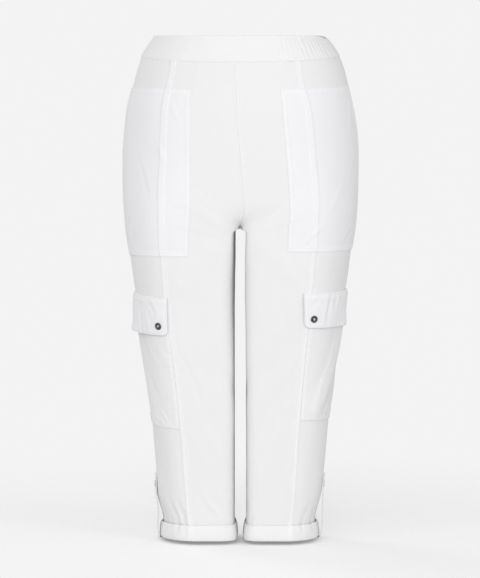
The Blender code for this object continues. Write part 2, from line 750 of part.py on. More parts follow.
def roll_tab(side):
    """The strap that is sewn inside the leg, passes round the cuff and buttons on the outside."""
    steps = np.linspace(-1, 1, 4)
    path = (*TAB_START, *TAB_MIDDLES[side.name], *TAB_END)
    ends = [math.dist(path[-1], place) for place in path]
    sheets = []
    for half in (TAB_CLOTH / 2, -TAB_CLOTH / 2):
        sheet = []
        for i, place in enumerate(path):
            before, after = path[max(i - 1, 0)], path[min(i + 1, len(path) - 1)]
            way = Vector((after.out - before.out, after.drop - before.drop)).normalized()
            out, drop = place.out - way.y * half, place.drop + way.x * half
            taper = 1 if ends[i] >= TAB_POINT else 0.45 + 0.55 * math.sqrt(ends[i] / TAB_POINT)
            reach = TAB_WIDTH / 2 * taper / arc_length(drop)
            sheet.append([surface(side, drop, 1 + side.tab_turn + reach * t, out) for t in steps])
        sheets.append(sheet)
    tab = wall(f"roll_tab_{side.name}", *sheets, WHITE_CLOTH)

    on_leg = surface(side, BUTTON_DROP, 1 + side.tab_turn)
    away = surface(side, BUTTON_DROP, 1 + side.tab_turn, 1.0) - on_leg
    place, normal = face_under(tab, on_leg, away)
    profile = ((0.0, 0.04), (0.56, 0.04), (0.6, 0.12), (0.56, 0.26), (0.46, 0.28), (0.38, 0.2), (0.0, 0.2))
    turned(f"tab_button_{side.name}", profile, 16, place, normal, WHITE_BUTTON)


def band_point(q, drop, out):
    """A point of the waistband. q is u on the left side, and minus u on the right."""
    side = LEFT if q >= 0 else RIGHT
    return surface(side, drop, abs(q), out, level=True)


def gather_strength(q):
    """0 where the waistband is flat, and 1 where its elastic puckers it."""
    from_middle = abs(level_point(LEFT, BAND_MIDDLE, abs(q))[0]) if abs(q) < 1 else math.inf
    return ease((from_middle - FLAT_FRONT) / GATHER_RAMP)


def gather(q, arc, depth):
    """How far the cloth of the waistband stands out at a place."""
    uneven = 0.75 + 0.25 * math.sin(arc * 1.7) * math.cos(arc * 0.6)
    return depth * gather_strength(q) * uneven * math.cos(2 * math.pi * arc / GATHER_LENGTH)


def waistband(name, ends):
    """Half of the waistband, from one side seam to the other. Its inner face is plain."""
    length = 2 * arc_length(BAND_MIDDLE, behind=ends[1] > 1)
    n = round(length / GATHER_LENGTH) * COLUMNS_PER_GATHER
    gap = SEAM_GAP / length
    span = ends[1] - ends[0]
    steps = [(ends[0] + span * (gap / 2 + (1 - gap) * i / n), i) for i in range(n + 1)]
    places = [(q if q <= 2 else q - 4, length * i / n) for q, i in steps if gather_strength(q) or i % 3 == 0]
    levels = ((0.0, 0.03, 0.5), (BAND_HEIGHT * 0.5, 0.1, 1.0), (BAND_HEIGHT, 0.03, 0.5))
    sheets = [[], []]
    for drop, out, share in levels:
        slip = BAND_SAG * (1 - drop / BAND_HEIGHT)
        drops = [drop + slip * math.exp(-(((q - SAG_PLACE) / SAG_REACH) ** 2)) for q, _ in places]
        outs = [out + GATHER_DEPTH * share + gather(q, arc, GATHER_DEPTH * share) for q, arc in places]
        sheets[0].append([band_point(q, lower, o) for (q, _), lower, o in zip(places, drops, outs)])
        inside = out - BAND_CLOTH + 0.05
        sheets[1].append([band_point(q, lower, inside) for (q, _), lower in zip(places, drops)])
    wall(name, *sheets, WHITE_CLOTH)


def build():
    for old in list(bpy.data.objects):
        bpy.data.objects.remove(old)
    for side in (RIGHT, LEFT):
        grid = SideGrid(side)
        leg_panels(grid)
        front_pocket(grid)
        cargo_pocket(grid)
        cargo_flap(side)
        cuff(side)
        roll_tab(side)
    waistband("waistband_front", (-1.0, 1.0))
    waistband("waistband_back", (1.0, 3.0))


build()
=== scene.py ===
"""White cropped cargo trousers with a pull-on waistband, filled out with no wearer: the dressed model.

The classes work in centimetres, and MeshMaker turns their points into metres. +Z is up, the garment faces -Y and
the wearer's left side, L, is +X. A level of the garment is given by its drop, which is how far it lies below the
waistband's top edge at the side. A place around a level is given by u: 0 at the centre front or inseam, 1 at the
side seam, 2 at the centre back or inseam again. Around is the distance in cm round the cloth from the side seam,
more than nothing at the front.
"""

import logging
import math
from dataclasses import dataclass, field
from enum import Enum
from functools import cached_property, lru_cache
from typing import NamedTuple, Sequence

import bmesh
import bpy
import numpy as np
from bpy.types import Material, Node, NodeInputs, NodeOutputs, NodeSocket, NodeTree, Object, Scene
from mathutils import Euler, Matrix, Vector


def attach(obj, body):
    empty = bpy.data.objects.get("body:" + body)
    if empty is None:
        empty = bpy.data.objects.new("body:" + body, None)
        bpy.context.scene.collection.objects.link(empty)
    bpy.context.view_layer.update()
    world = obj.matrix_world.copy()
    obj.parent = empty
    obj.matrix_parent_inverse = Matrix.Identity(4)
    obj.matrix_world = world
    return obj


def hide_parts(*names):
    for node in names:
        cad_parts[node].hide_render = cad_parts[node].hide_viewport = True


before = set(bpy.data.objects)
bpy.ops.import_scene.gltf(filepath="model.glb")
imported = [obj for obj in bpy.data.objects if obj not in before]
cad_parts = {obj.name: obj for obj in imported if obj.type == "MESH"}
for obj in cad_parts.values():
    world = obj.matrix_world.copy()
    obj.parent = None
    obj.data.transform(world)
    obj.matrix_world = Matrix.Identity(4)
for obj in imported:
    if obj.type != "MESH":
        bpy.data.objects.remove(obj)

log = logging.getLogger("trousers")
Array = np.ndarray
Color = tuple[float, float, float]
Value = NodeSocket | float | Sequence[float]

CM = 0.01  # metres in a centimetre
SEAM_GAP = 0.03  # between two pieces that lie on each other
HALF_SLIT = 0.012  # from the garment's middle to the cloth of either side
WIDEST_ROW = 0.36  # the rows of the leg's grid are no further apart
CLOTH = 0.07  # one layer of the twill
PANEL_CLOTH = 0.11  # a leg panel, with what lies inside it
BAND_HEIGHT = 3.75
BAND_MIDDLE = BAND_HEIGHT / 2
CROTCH = 32.9
CUFF_TOP = 83.7
HEM = 86.45
LEG_END = 86.15


class Edge(Enum):
    """The four edges of a sheet of cloth."""

    TOP = "top"
    BOTTOM = "bottom"
    FIRST = "first"
    LAST = "last"


class Hold(Enum):
    """How a sheet of cloth is held."""

    HUNG = "hung"
    GATHERED = "gathered"
    FOLDED = "folded"
    LAID = "laid"


# --- The shape of the garment ---


class Level(NamedTuple):
    """The size of the garment at one drop."""

    drop: float
    outer: float
    front: float
    back: float
    dip: float
    square: float


class Line(NamedTuple):
    """Where the front pocket's inner edge and the princess seam run at one drop, from the middle."""

    drop: float
    pocket: float
    princess: float


class Worn(NamedTuple):
    """How far the garment is turned on its form at one drop, and how far its centre front swings to one side."""

    drop: float
    twist: float
    bow: float


class Place(NamedTuple):
    """A value of something at one drop."""

    drop: float
    value: float


class Knot(NamedTuple):
    """A column beside the centre seam or inseam: its share of the way at the hips, and its angle around the leg."""

    share: float
    angle: float


LEVELS = tuple(Level(*row) for row in (
    (0, 14.75, 11, 10.8, 0, 6.5), (1.7, 15.75, 11.3, 11.1, 0.4, 6.5), (3.75, 17, 11.8, 11.7, 0.75, 6.5),
    (7.8, 18.25, 12.5, 12.8, 0.4, 6.5), (13, 19.45, 13, 14.2, 0.2, 6.5), (20.8, 20.05, 12.9, 15, 0.05, 6.5),
    (27, 20, 12.4, 13.8, 0, 6.5), (32.9, 19.6, 11.7, 11.6, 0, 6.5), (38.2, 18.85, 11.2, 10.3, 0, 7.2),
    (43.3, 18.15, 10.7, 9.7, 0, 7.8), (52.8, 16.65, 9.8, 8.9, 0, 8), (59.7, 15.75, 9.2, 8.5, 0, 8),
    (66.6, 15.15, 8.6, 8.2, 0, 7.8), (73.5, 14.6, 8, 8, 0, 7.4), (79, 14, 7.5, 7.8, 0, 7),
    (83, 13, 7.2, 7.5, 0, 6.5), (87, 12.75, 7.1, 7.4, 0, 6.5),
))
LINES = tuple(Line(*row) for row in (
    (3.75, 7.4, 10.6), (13.3, 7.8, 12.2), (20.8, 8.1, 12.65), (26.8, 8.35, 13.05), (33.7, 8.45, 12.95),
    (38.9, 8.35, 12.6), (44.8, 8, 12.05), (52.8, 7.4, 11.1), (61.4, 6.8, 10.2), (68.3, 6.4, 9.65), (74.4, 6, 9.25),
    (79.6, 5.8, 8.9), (87, 5.4, 8.35),
))
WORN = tuple(Worn(*row) for row in (
    (0, -4.2, 0), (5.2, -4.6, 0.15), (13.3, -3.9, 0.35), (20.8, -2.8, 0.65), (26.8, -2.2, 0.95), (29.5, -2.2, 1.15),
    (32.9, -2.2, 0.35), (38, -2.3, 0.1), (44.6, -2.6, 0), (52, -1.6, 0), (66, -0.6, 0), (76, -0.5, 0), (87, -0.4, 0),
))
MOUTH = (Place(3.75, 0.9), Place(9.0, 0.905), Place(17.6, 0.975), Place(24.0, 0.985), Place(87.0, 0.985))
FRONT_KNOTS = (Knot(0.0, 0.0), Knot(0.09, 12.0), Knot(0.25, 32.0), Knot(0.45, 52.0), Knot(0.68, 70.0))
FRONT_STEPS = (9, 6, 4, 4, 11)  # the columns from each knot to the next, and from the last to the pocket
BACK_KNOTS = tuple(Knot(*row) for row in (
    (0, 0), (0.08, 6), (0.2, 20), (0.36, 36), (0.52, 52), (0.68, 68), (0.84, 84),
))
BACK_STEPS = (5, 8, 8, 8, 7, 7, 7)


class Curve:
    """A smooth line through one column of a table, which doesn't overshoot between its rows."""

    def __init__(self, rows: Sequence[NamedTuple], column: str) -> None:
        """Works out the slope at each row.

        Args:
            rows: The table, with a drop in each row.
            column: The name of the column.
        """
        self.x = np.array([row.drop for row in rows], dtype=float)
        self.y = np.array([getattr(row, column) for row in rows], dtype=float)
        slope = np.diff(self.y) / np.diff(self.x)
        before, after = slope[:-1], slope[1:]
        rising = before * after > 0
        self.tangent = np.zeros_like(self.y)
        self.tangent[1:-1][rising] = 2 * (before * after)[rising] / (before + after)[rising]

    def __call__(self, drop: Array | float) -> Array | float:
        """The column's value at a drop.

        Args:
            drop: One drop or an array of them.

        Returns:
            The value or values there.
        """
        d = np.clip(drop, self.x[0], self.x[-1])
        k = np.clip(np.searchsorted(self.x, d, side="right") - 1, 0, len(self.x) - 2)
        width = self.x[k + 1] - self.x[k]
        t = (d - self.x[k]) / width
        return (
            self.y[k] * (1 + 2 * t) * (1 - t) ** 2
            + self.y[k + 1] * t * t * (3 - 2 * t)
            + self.tangent[k] * width * t * (1 - t) ** 2
            - self.tangent[k + 1] * width * t * t * (1 - t)
        )


def ease(t: Array | float) -> Array | float:
    """0 below 0, 1 above 1, and a soft rise between."""
    t = np.clip(t, 0.0, 1.0)
    return t * t * (3 - 2 * t)


def arch(t: Array) -> Array:
    """0 at 0 and at 1, and round between."""
    return np.sin(math.pi * np.clip(t, 0, 1))


def unit(vectors: Array) -> Array:
    """Vectors made one long."""
    return vectors / np.maximum(np.linalg.norm(vectors, axis=-1, keepdims=True), 1e-9)


def lengths(line: Array) -> Array:
    """How far along a line each of its points is."""
    return np.concatenate([[0], np.cumsum(np.linalg.norm(np.diff(line, axis=0), axis=-1))])


class Waves:
    """Soft uneven waves over a plane, the same at every run."""

    def __init__(self, seed: int) -> None:
        """Fills a square of values that belong to a seed."""
        self.values = np.random.RandomState(seed).uniform(-1, 1, (64, 64))

    def __call__(self, x: Array, y: Array) -> Array:
        """The waves' height, from -1 to 1.

        Args:
            x: Places across, one wave to a unit.
            y: Places down.

        Returns:
            The heights there.
        """
        x, y = np.broadcast_arrays(np.asarray(x, float), np.asarray(y, float))
        i, j = np.floor(x).astype(int), np.floor(y).astype(int)
        s, t = ease(x - i), ease(y - j)
        v = self.values
        a, b = v[i % 64, j % 64], v[(i + 1) % 64, j % 64]
        c, d = v[i % 64, (j + 1) % 64], v[(i + 1) % 64, (j + 1) % 64]
        return (a * (1 - s) + b * s) * (1 - t) + (c * (1 - s) + d * s) * t


class Section(NamedTuple):
    """The front or back half of one leg's section, or of half the hips, from the middle or inseam to the side."""

    x: Array
    y: Array
    reach: Array  # how far each point is towards the front or back, from 0 to 1
    along: Array  # the length of the arc up to each point
    angle: Array  # degrees around the leg from the inseam


@dataclass(frozen=True)
class Form:
    """The filled-out form of the garment: every section of its hips and legs."""

    half_gap: float = 0.98  # from the middle to the inseam
    gap_corner: float = 0.8
    gap_fade: float = 9.0
    edge_radius: float = 0.4
    front_fork: tuple[float, float] = (6.5, 4.0)  # height and squareness of the crotch curve
    back_fork: tuple[float, float] = (13.0, 2.6)
    thigh_blend: float = 15.0
    hip_power: float = 2.35
    back_squareness: float = 0.25
    outseam_power: float = 2.25
    samples: int = 481

    def inseam(self, drop: float) -> float:
        """From the middle to the inseam: nothing above the crotch, and half the gap below its rounded corner."""
        t = min(max((drop - CROTCH) / self.gap_corner, 0.0), 1.0)
        return self.half_gap * math.sqrt(1 - (1 - t) ** 2)

    def joined(self, height: float, behind: bool) -> float:
        """How far the two legs are one.

        Args:
            height: The height above the crotch point.
            behind: True for the back half.

        Returns:
            0 at the crotch point, and 1 above the crotch curve.
        """
        reach, power = self.back_fork if behind else self.front_fork
        if height <= 0:
            return 0.0
        return 1.0 if height >= reach else (1 - (1 - height / reach) ** power) ** (1 / power)

    @lru_cache(maxsize=None)
    def section(self, drop: float, behind: bool) -> Section:
        """Half of the section at a drop.

        Args:
            drop: The level, rounded to 0.0001 cm.
            behind: True for the back half.

        Returns:
            The points of the half section.
        """
        outer, inner = float(OUTER(drop)), self.inseam(drop)
        front, back = float(FRONT(drop)), float(BACK(drop))
        side_y, depth = (back - front) / 2, (back + front) / 2
        height = CROTCH - drop
        middle = (outer + self.half_gap * ease(0.5 - height / self.thigh_blend)) / 2
        angle = math.pi * (0.5 - 0.5 * np.cos(np.linspace(0, math.pi, self.samples)))
        near = np.cos(angle) > 0
        square = float(SQUARE(drop))
        squareness = self.back_squareness if behind else 1
        power = np.where(near, 2 + (square - 2) * squareness, self.outseam_power)
        radius = np.where(near, middle - inner, outer - middle)
        x = middle - radius * np.sign(np.cos(angle)) * np.abs(np.cos(angle)) ** (2 / power)
        leg = np.abs(np.sin(angle)) ** (2 / power)
        hips = np.clip(1 - np.clip(x / outer, 0, 1) ** self.hip_power, 0, 1) ** (1 / self.hip_power)
        joined = self.joined(height, behind)
        past_fork = radius * (1 - (1 - np.minimum(joined**power, 1)) ** (1 / power))
        rounded_from = self.half_gap * ease(-height / self.gap_fade)
        corner = 1.0
        for start, reach, roundness in (
            (rounded_from, middle - rounded_from, power),
            (inner, self.edge_radius, 3.0),
        ):
            away = np.clip(np.hypot(x - start, past_fork) / reach, 0, 1)
            corner = corner * (1 - (1 - away) ** roundness) ** (1 / roundness)
        as_hips = ease(height / self.thigh_blend)
        side_reach = as_hips * hips + (1 - as_hips) * leg
        reach = np.where(near, corner * (as_hips * hips + 1 - as_hips), side_reach)
        y = side_y + depth * reach * (1 if behind else -1)
        along = np.concatenate([[0], np.cumsum(np.hypot(np.diff(x), np.diff(y)))])
        return Section(x, y, reach, along, np.degrees(angle))

    def arc(self, drop: float, behind: bool = False) -> float:
        """The length round the front or back half at a drop."""
        return float(self.section(round(drop, 4), behind).along[-1])

    def u_at_x(self, drop: float, x: float) -> float:
        """The place round the front whose distance from the middle is x."""
        part = self.section(round(drop, 4), False)
        return float(np.interp(x, part.x, part.along) / part.along[-1])

    def share_at_angle(self, drop: float, degrees: Array, behind: bool) -> Array:
        """How far round the front or back, from 0 at the inseam to 1 at the side, a direction from the leg is."""
        part = self.section(round(drop, 4), behind)
        return np.interp(degrees, part.angle, part.along) / part.along[-1]


OUTER, FRONT, BACK = (Curve(LEVELS, name) for name in ("outer", "front", "back"))
DIP, SQUARE = (Curve(LEVELS, name) for name in ("dip", "square"))
POCKET_X, PRINCESS_X = (Curve(LINES, name) for name in ("pocket", "princess"))
TWIST, BOW = (Curve(WORN, name) for name in ("twist", "bow"))
MOUTH_U = Curve(MOUTH, "value")
FORM = Form()


def as_worn(points: Array) -> Array:
    """Turns points about the middle, and swings the centre front, as the garment sits on its form.

    Args:
        points: Points in cm, with x, y and z along the last axis.

    Returns:
        The moved points.
    """
    x, y, z = points[..., 0], points[..., 1], points[..., 2]
    drop = BAND_MIDDLE - z
    angle = np.radians(TWIST(drop))
    near_middle = np.exp(-((x / 8.5) ** 2)) * np.clip(-y / 12, 0.0, 1.0)
    x = x + BOW(drop) * near_middle
    return np.stack([x * np.cos(angle) - y * np.sin(angle), x * np.sin(angle) + y * np.cos(angle), z], axis=-1)


@dataclass(frozen=True)
class Side:
    """One side of the garment, with the small differences of how it sits."""

    name: str
    sign: int
    pocket_top: float
    pocket_bottom: float
    flap_top: float
    flap_bottom: float
    flap_inset: float
    flap_bow: float
    cargo_bottom: float
    tab_turn: float
    tilts: tuple[Place, ...]
    seed: int

    @cached_property
    def tilt(self) -> Curve:
        """How much lower a level runs at this leg's front than at its side."""
        return Curve(self.tilts, "value")


RIGHT = Side(
    "R", -1, 9.0, 37.5, 43.85, 50.3, -0.2, 0.72, 66.2, -0.03,
    tuple(Place(*row) for row in (
        (0.0, 0.0), (BAND_HEIGHT, 0.0), (9.0, -0.3), (20.0, 0.0), (37.5, -0.15), (43.85, 0.55), (50.3, 0.6),
        (66.2, 0.8), (80, 0), (87, 0),
    )),
    11,
)
LEFT = Side(
    "L", 1, 8.5, 36.5, 43.45, 49.5, -0.95, 0.0, 65.8, -0.03,
    tuple(Place(*row) for row in (
        (0.0, 0.0), (BAND_HEIGHT, 0.0), (8.5, 0.25), (20.0, 0.0), (36.5, 0.0), (43.45, 0.1), (49.5, 0.0),
        (65.8, -0.3), (80, 0), (87, 0),
    )),
    23,
)


# --- Folds and creases ---


class Fold(NamedTuple):
    """A soft fold along a line between two places. Each place is a drop and a distance around from the side seam."""

    side: str
    from_drop: float
    from_seam: float
    to_drop: float
    to_seam: float
    height: float
    width: float

    def lift(self, drop: Array, around: Array) -> Array:
        """How far the fold lifts the cloth at places of its side.

        Args:
            drop: The places' drops.
            around: Their distances around.

        Returns:
            The lifts there.
        """
        way = np.array((self.to_drop - self.from_drop, self.to_seam - self.from_seam))
        t = ((drop - self.from_drop) * way[0] + (around - self.from_seam) * way[1]) / np.dot(way, way)
        t = np.clip(t, 0, 1)
        away = np.hypot(drop - self.from_drop - way[0] * t, around - self.from_seam - way[1] * t) / self.width
        return self.height * np.exp(-2 * away * away)


class Crease(NamedTuple):
    """A finer crease, with a hollow beside its crest, that bends and dies away at both ends."""

    side: str
    from_drop: float
    from_seam: float
    to_drop: float
    to_seam: float
    height: float
    width: float
    bend: float = 0.0  # how far its middle swings sideways
    hollow: float = 0.45  # the depth of the hollow beside it, as a share of its height

    def lift(self, drop: Array, around: Array) -> Array:
        """How far the crease lifts the cloth at places of its side.

        Args:
            drop: The places' drops.
            around: Their distances around.

        Returns:
            The lifts there.
        """
        way = np.array((self.to_drop - self.from_drop, self.to_seam - self.from_seam))
        length = float(np.hypot(*way))
        way = way / length
        a, b = drop - self.from_drop, around - self.from_seam
        t = (a * way[0] + b * way[1]) / length
        side = -a * way[1] + b * way[0] - self.bend * 4 * t * (1 - t)
        fade = arch(t) ** 0.8
        crest = np.exp(-2 * (side / self.width) ** 2)
        beside = np.exp(-2 * ((side - 1.5 * self.width) / (1.2 * self.width)) ** 2)
        return self.height * fade * (crest - self.hollow * beside)


FOLDS = tuple(Fold(*row) for row in (
    ("L", 49, 1.3, 64, 7.4, 0.42, 2.4), ("R", 50.5, 1, 65, 5.2, 0.38, 2.4), ("L", 32, 24, 26, 19.5, -0.15, 2.2),
    ("R", 32.4, 24, 27.6, 19, 0.12, 2.2), ("L", 36, 22, 40.5, 16.5, 0.14, 2.2), ("R", 36.6, 21.5, 42, 16, 0.14, 2.4),
    ("L", 35, -21.5, 37.5, -10, 0.28, 2.2), ("L", 38.8, -21.5, 40.5, -12, -0.2, 2.2),
    ("R", 34.6, -22, 37.2, -11, 0.26, 2.2), ("R", 39.4, -20.5, 40.2, -11.5, -0.22, 2.4),
    ("L", 56, -20, 57.2, -9.5, 0.24, 2), ("L", 60.8, -18.5, 59.6, -8.5, 0.22, 2),
    ("R", 55.4, -19, 57.6, -10, 0.26, 2), ("R", 61.4, -20, 60.2, -9, 0.2, 2.2),
    ("L", 57, 17.5, 60.5, 22.5, -0.14, 2.6), ("R", 56, 16.5, 60, 22, -0.14, 2.6), ("R", 79.6, 0, 87, 0, 0.42, 4.5),
    ("L", 76, 4.5, 82, 6, 0.14, 1.8), ("R", 75, 3.6, 82, 5.6, 0.16, 1.8), ("L", 77, -6.5, 82, -9, 0.15, 1.8),
    ("R", 76, -7.5, 82, -10.5, 0.15, 1.8),
))

CREASES = tuple(Crease(*row) for row in (
    # drag lines that fan out from the crotch, at the front
    ("L", 31.2, 25, 25, 16.5, -0.07, 0.8, 0.5), ("L", 33.4, 24, 30, 15, 0.05, 0.7, -0.4),
    ("R", 31.6, 25, 26.5, 17, -0.06, 0.8, -0.5), ("R", 33.6, 24, 31.5, 15.5, 0.05, 0.7, 0.3),
    # and at the back, below the seat
    ("L", 33.5, -24, 29, -13.5, 0.2, 0.9, 0.8), ("L", 36.4, -22, 38.6, -9, -0.18, 0.8, -0.7),
    ("L", 41.5, -20, 43.6, -9.5, 0.16, 0.8, 0.5), ("R", 33.8, -24, 28.2, -14.5, 0.19, 0.9, -0.7),
    ("R", 37, -22, 38, -10, -0.19, 0.8, 0.8), ("R", 42, -20.5, 44.8, -10, 0.15, 0.8, -0.4),
    # across the back of the knees
    ("L", 54, -19, 55.4, -7.5, 0.17, 0.7, 0.5), ("L", 58.2, -20.5, 58.6, -8, -0.22, 0.7, -0.6),
    ("L", 62.6, -19, 61.4, -7, 0.17, 0.7, 0.5), ("R", 53.5, -18, 56, -8, 0.16, 0.7, -0.5),
    ("R", 58.6, -20, 58.8, -8.5, -0.22, 0.7, 0.6), ("R", 63.4, -19.5, 62, -7.5, 0.17, 0.7, -0.4),
    # above the cuffs
    ("R", 78.4, 5.8, 85.6, 7, -0.28, 0.48, 0.25), ("R", 79, 7.8, 85.6, 8.4, -0.24, 0.45, 0.1),
    ("R", 77.6, 2.2, 85.6, 3.6, -0.2, 0.6, 0.2), ("R", 78.2, 12.6, 85.2, 15.2, 0.1, 0.6, 0.2),
    ("R", 80.4, 18, 85.2, 18.6, -0.12, 0.6, 0), ("L", 77, 3.2, 85.6, 4.8, -0.26, 0.55, -0.2),
    ("L", 79.4, 6, 85.6, 7.2, -0.22, 0.48, 0.1), ("L", 80.6, 8.2, 85.2, 8.8, 0.1, 0.5, 0.1),
    ("L", 78, 14.4, 85.2, 15.4, 0.1, 0.6, 0.2), ("L", 80.6, 18.8, 85.2, 18, 0.12, 0.6, 0),
    ("L", 77, -4, 85.4, -6, 0.18, 0.6, 0.3), ("L", 78.5, -12, 85.4, -12.6, 0.18, 0.6, -0.2),
    ("R", 77.4, -4.4, 85.4, -5.6, 0.18, 0.6, 0.2), ("R", 78, -13, 85.4, -14.2, 0.18, 0.6, 0.2),
    # the lower legs' fronts
    ("L", 62, 11.5, 72, 15, 0.05, 0.9, 0.6), ("R", 66.5, 12, 74, 15.5, 0.05, 0.9, -0.6),
    ("R", 51.5, 8, 57, 10.5, 0.05, 0.7, 0.3), ("R", 50.6, 11.6, 68, 15.4, -0.08, 0.8, 0.6),
    ("R", 60, 13.6, 73, 17.6, 0.06, 0.9, -0.5), ("L", 55, 11.8, 66, 17.2, -0.08, 0.8, -0.5),
    ("L", 47, 14, 54, 19, 0.05, 0.9, 0.4),
))

POCKET_CREASES = tuple(Crease(*row) for row in (
    # drag lines of the front pockets, from their mouths and corners
    ("R", 20.6, 9.6, 27.6, 12.4, -0.108, 0.5, 0.3), ("R", 17, 13.4, 22, 16, 0.068, 0.55, -0.3),
    ("R", 29.5, 5, 36.4, 8.2, -0.095, 0.55, 0.3), ("R", 10.6, 14.8, 15, 17.4, 0.068, 0.44, 0.2),
    ("L", 24, 8, 31, 12.6, 0.068, 0.66, 0.4), ("L", 30.8, 3.4, 35.6, 7.6, -0.108, 0.5, -0.3),
    ("L", 31.8, 12.6, 36, 15.8, 0.081, 0.55, 0.2), ("L", 10, 3, 17, 5.6, 0.081, 0.66, 0.4),
))

CARGO_CREASES = tuple(Crease(*row) for row in (
    # the slanting fold where the thigh pocket's fullness turns to the side
    ("L", 49.6, -0.2, 65.6, 6.9, -0.365, 0.46, -1.1, -0.45), ("L", 50.4, 4.4, 60, 7.4, 0.081, 0.55, -0.3),
    ("L", 54.5, 1.6, 64.6, 4.6, -0.17, 0.42, -0.6), ("L", 53, -2.5, 64.5, 2.4, 0.135, 0.66, -0.5),
    ("L", 57.5, 6.6, 65.5, 8.2, 0.081, 0.55, 0.2), ("R", 51.6, 0, 61, 3.6, -0.27, 0.46, -0.5, -0.3),
    ("R", 50.8, 2.6, 57.5, 5.6, 0.108, 0.44, 0.2), ("R", 51.2, 5.2, 56, 8, 0.081, 0.39, 0.2),
    ("R", 55.4, 4.6, 62.2, 7.6, -0.095, 0.5, -0.3),
    # its crumpled lower end
    ("R", 63.6, 1.6, 66, 4.4, -0.162, 0.33, 0.15), ("R", 62.4, 3.8, 66.1, 5.4, 0.135, 0.33, -0.15),
    ("R", 64.6, 4.6, 66.8, 8.2, -0.135, 0.33, 0.15), ("R", 63, 6.8, 65.8, 8.6, 0.095, 0.33, 0.1),
    ("R", 65.4, -1, 64.9, 5, 0.121, 0.31, 0.2), ("L", 61.4, 3.6, 65.6, 4.2, -0.121, 0.31, 0.1),
    ("L", 61.8, 4.6, 65.6, 5.4, 0.108, 0.29, 0), ("L", 63.4, -2.6, 65.6, 0.6, -0.121, 0.33, 0.1),
    ("L", 62.2, -5.4, 65.4, -4, 0.121, 0.44, 0.1), ("R", 62.6, -5.8, 65.8, -3.4, 0.121, 0.44, 0.1),
    ("R", 60, -3, 65, -1.4, -0.108, 0.44, 0.2),
))

FLAP_CREASES = tuple(Crease(*row) for row in (
    ("R", 42.6, 4.9, 56, 3.6, -0.3, 0.5, 0.1), ("R", 42.8, 2.2, 55, 1, -0.26, 0.5, -0.1),
    ("R", 43.2, 6.4, 52, 6.1, -0.17, 0.42, 0.1), ("R", 44.2, 8.8, 47.4, 10, -0.11, 0.5, 0.2),
    ("R", 45.6, 7.6, 50.4, 8.4, 0.1, 0.6, 0.2), ("R", 44, -2.6, 54, -2.2, -0.22, 0.5, 0.2),
    ("R", 44.4, -6.2, 53, -5.4, -0.2, 0.5, -0.2), ("L", 42, 8.1, 49.4, 8.8, -0.18, 0.45, 0.1),
    ("L", 42, 4.9, 56, 4.3, -0.22, 0.45, -0.1), ("L", 42.6, 6.4, 47, 6.5, 0.13, 0.42, 0),
    ("L", 42, 2.4, 56, 1.9, -0.2, 0.5, 0.1), ("L", 43.8, 10.2, 45.9, 11.8, -0.08, 0.45, 0.1),
    ("L", 43, -2, 54, -2.4, -0.2, 0.5, 0.2), ("L", 43.6, -6, 53, -5.4, -0.17, 0.5, 0.2),
))


def lifted(folds: Sequence[Fold | Crease], side: str, drop: Array, around: Array) -> Array:
    """How far all the folds of a side lift the cloth at places of it."""
    return sum((fold.lift(drop, around) for fold in folds if fold.side == side), np.zeros(drop.shape))


@dataclass(frozen=True)
class Puckers:
    """The small waves of the cloth along a stitched seam."""

    height: float = 0.02
    length: float = 1.5
    reach: float = 0.9  # how far from the seam they die away

    def lift(self, along: Array, away: Array, waves: Waves) -> Array:
        """How far the puckers lift the cloth.

        Args:
            along: Distances along the seam.
            away: Distances from it.
            waves: What makes them uneven.

        Returns:
            The lifts.
        """
        phase = 2 * math.pi * along / self.length + 2.4 * waves(along / 5.3, away * 0 + 7.5)
        strength = 0.55 + 0.45 * waves(along / 3.7, away * 0 + 2.5)
        return self.height * strength * np.cos(phase) * np.exp(-np.abs(away) / self.reach)


# --- The leg's cloth, point by point ---


class Stop(NamedTuple):
    """A column of the leg's grid: a line of the garment, and how far round from it in cm, to the back as more."""

    line: str
    offset: float


def offsets(line: str, *distances: float) -> list[Stop]:
    """Several columns at distances from one line."""
    return [Stop(line, distance) for distance in distances]


STOPS: tuple[tuple[list[Stop], int], ...] = (
    # the columns at a line, and how many steps go from the last of them to the next line's first
    (offsets("centre", 0, 0.2, 0.4, 0.52), sum(FRONT_STEPS)),
    (offsets("pocket", -0.3, 0, 0.1, 0.3, 0.72, 0.86), 8),
    (offsets("princess", -0.56, -0.47, -0.38, -0.2, 0, 0.2, 0.38, 0.43, 0.55), 19),
    (offsets("mouth", -0.86, -0.72, -0.3, -0.1, 0), 4),
    (offsets("side", 0, 0.12, 0.3), 22),
    (offsets("cargo_back", -1.2, -0.8, -0.4, -0.28, 0), sum(BACK_STEPS)),
    (offsets("centre_back", -0.52, -0.4, -0.2, 0), 0),
)


def stop_names() -> list[Stop | None]:
    """Counts the columns of the grid.

    Returns:
        The stop of each column, or None for the plain ones between.
    """
    names: list[Stop | None] = []
    for stops, steps in STOPS:
        names += [*stops, *([None] * max(steps - 1, 0))]
    return names


COLUMN_STOPS = stop_names()


def column_of(line: str, offset: float = 0.0) -> int:
    """The grid's column at a distance from a line."""
    return COLUMN_STOPS.index(Stop(line, offset))


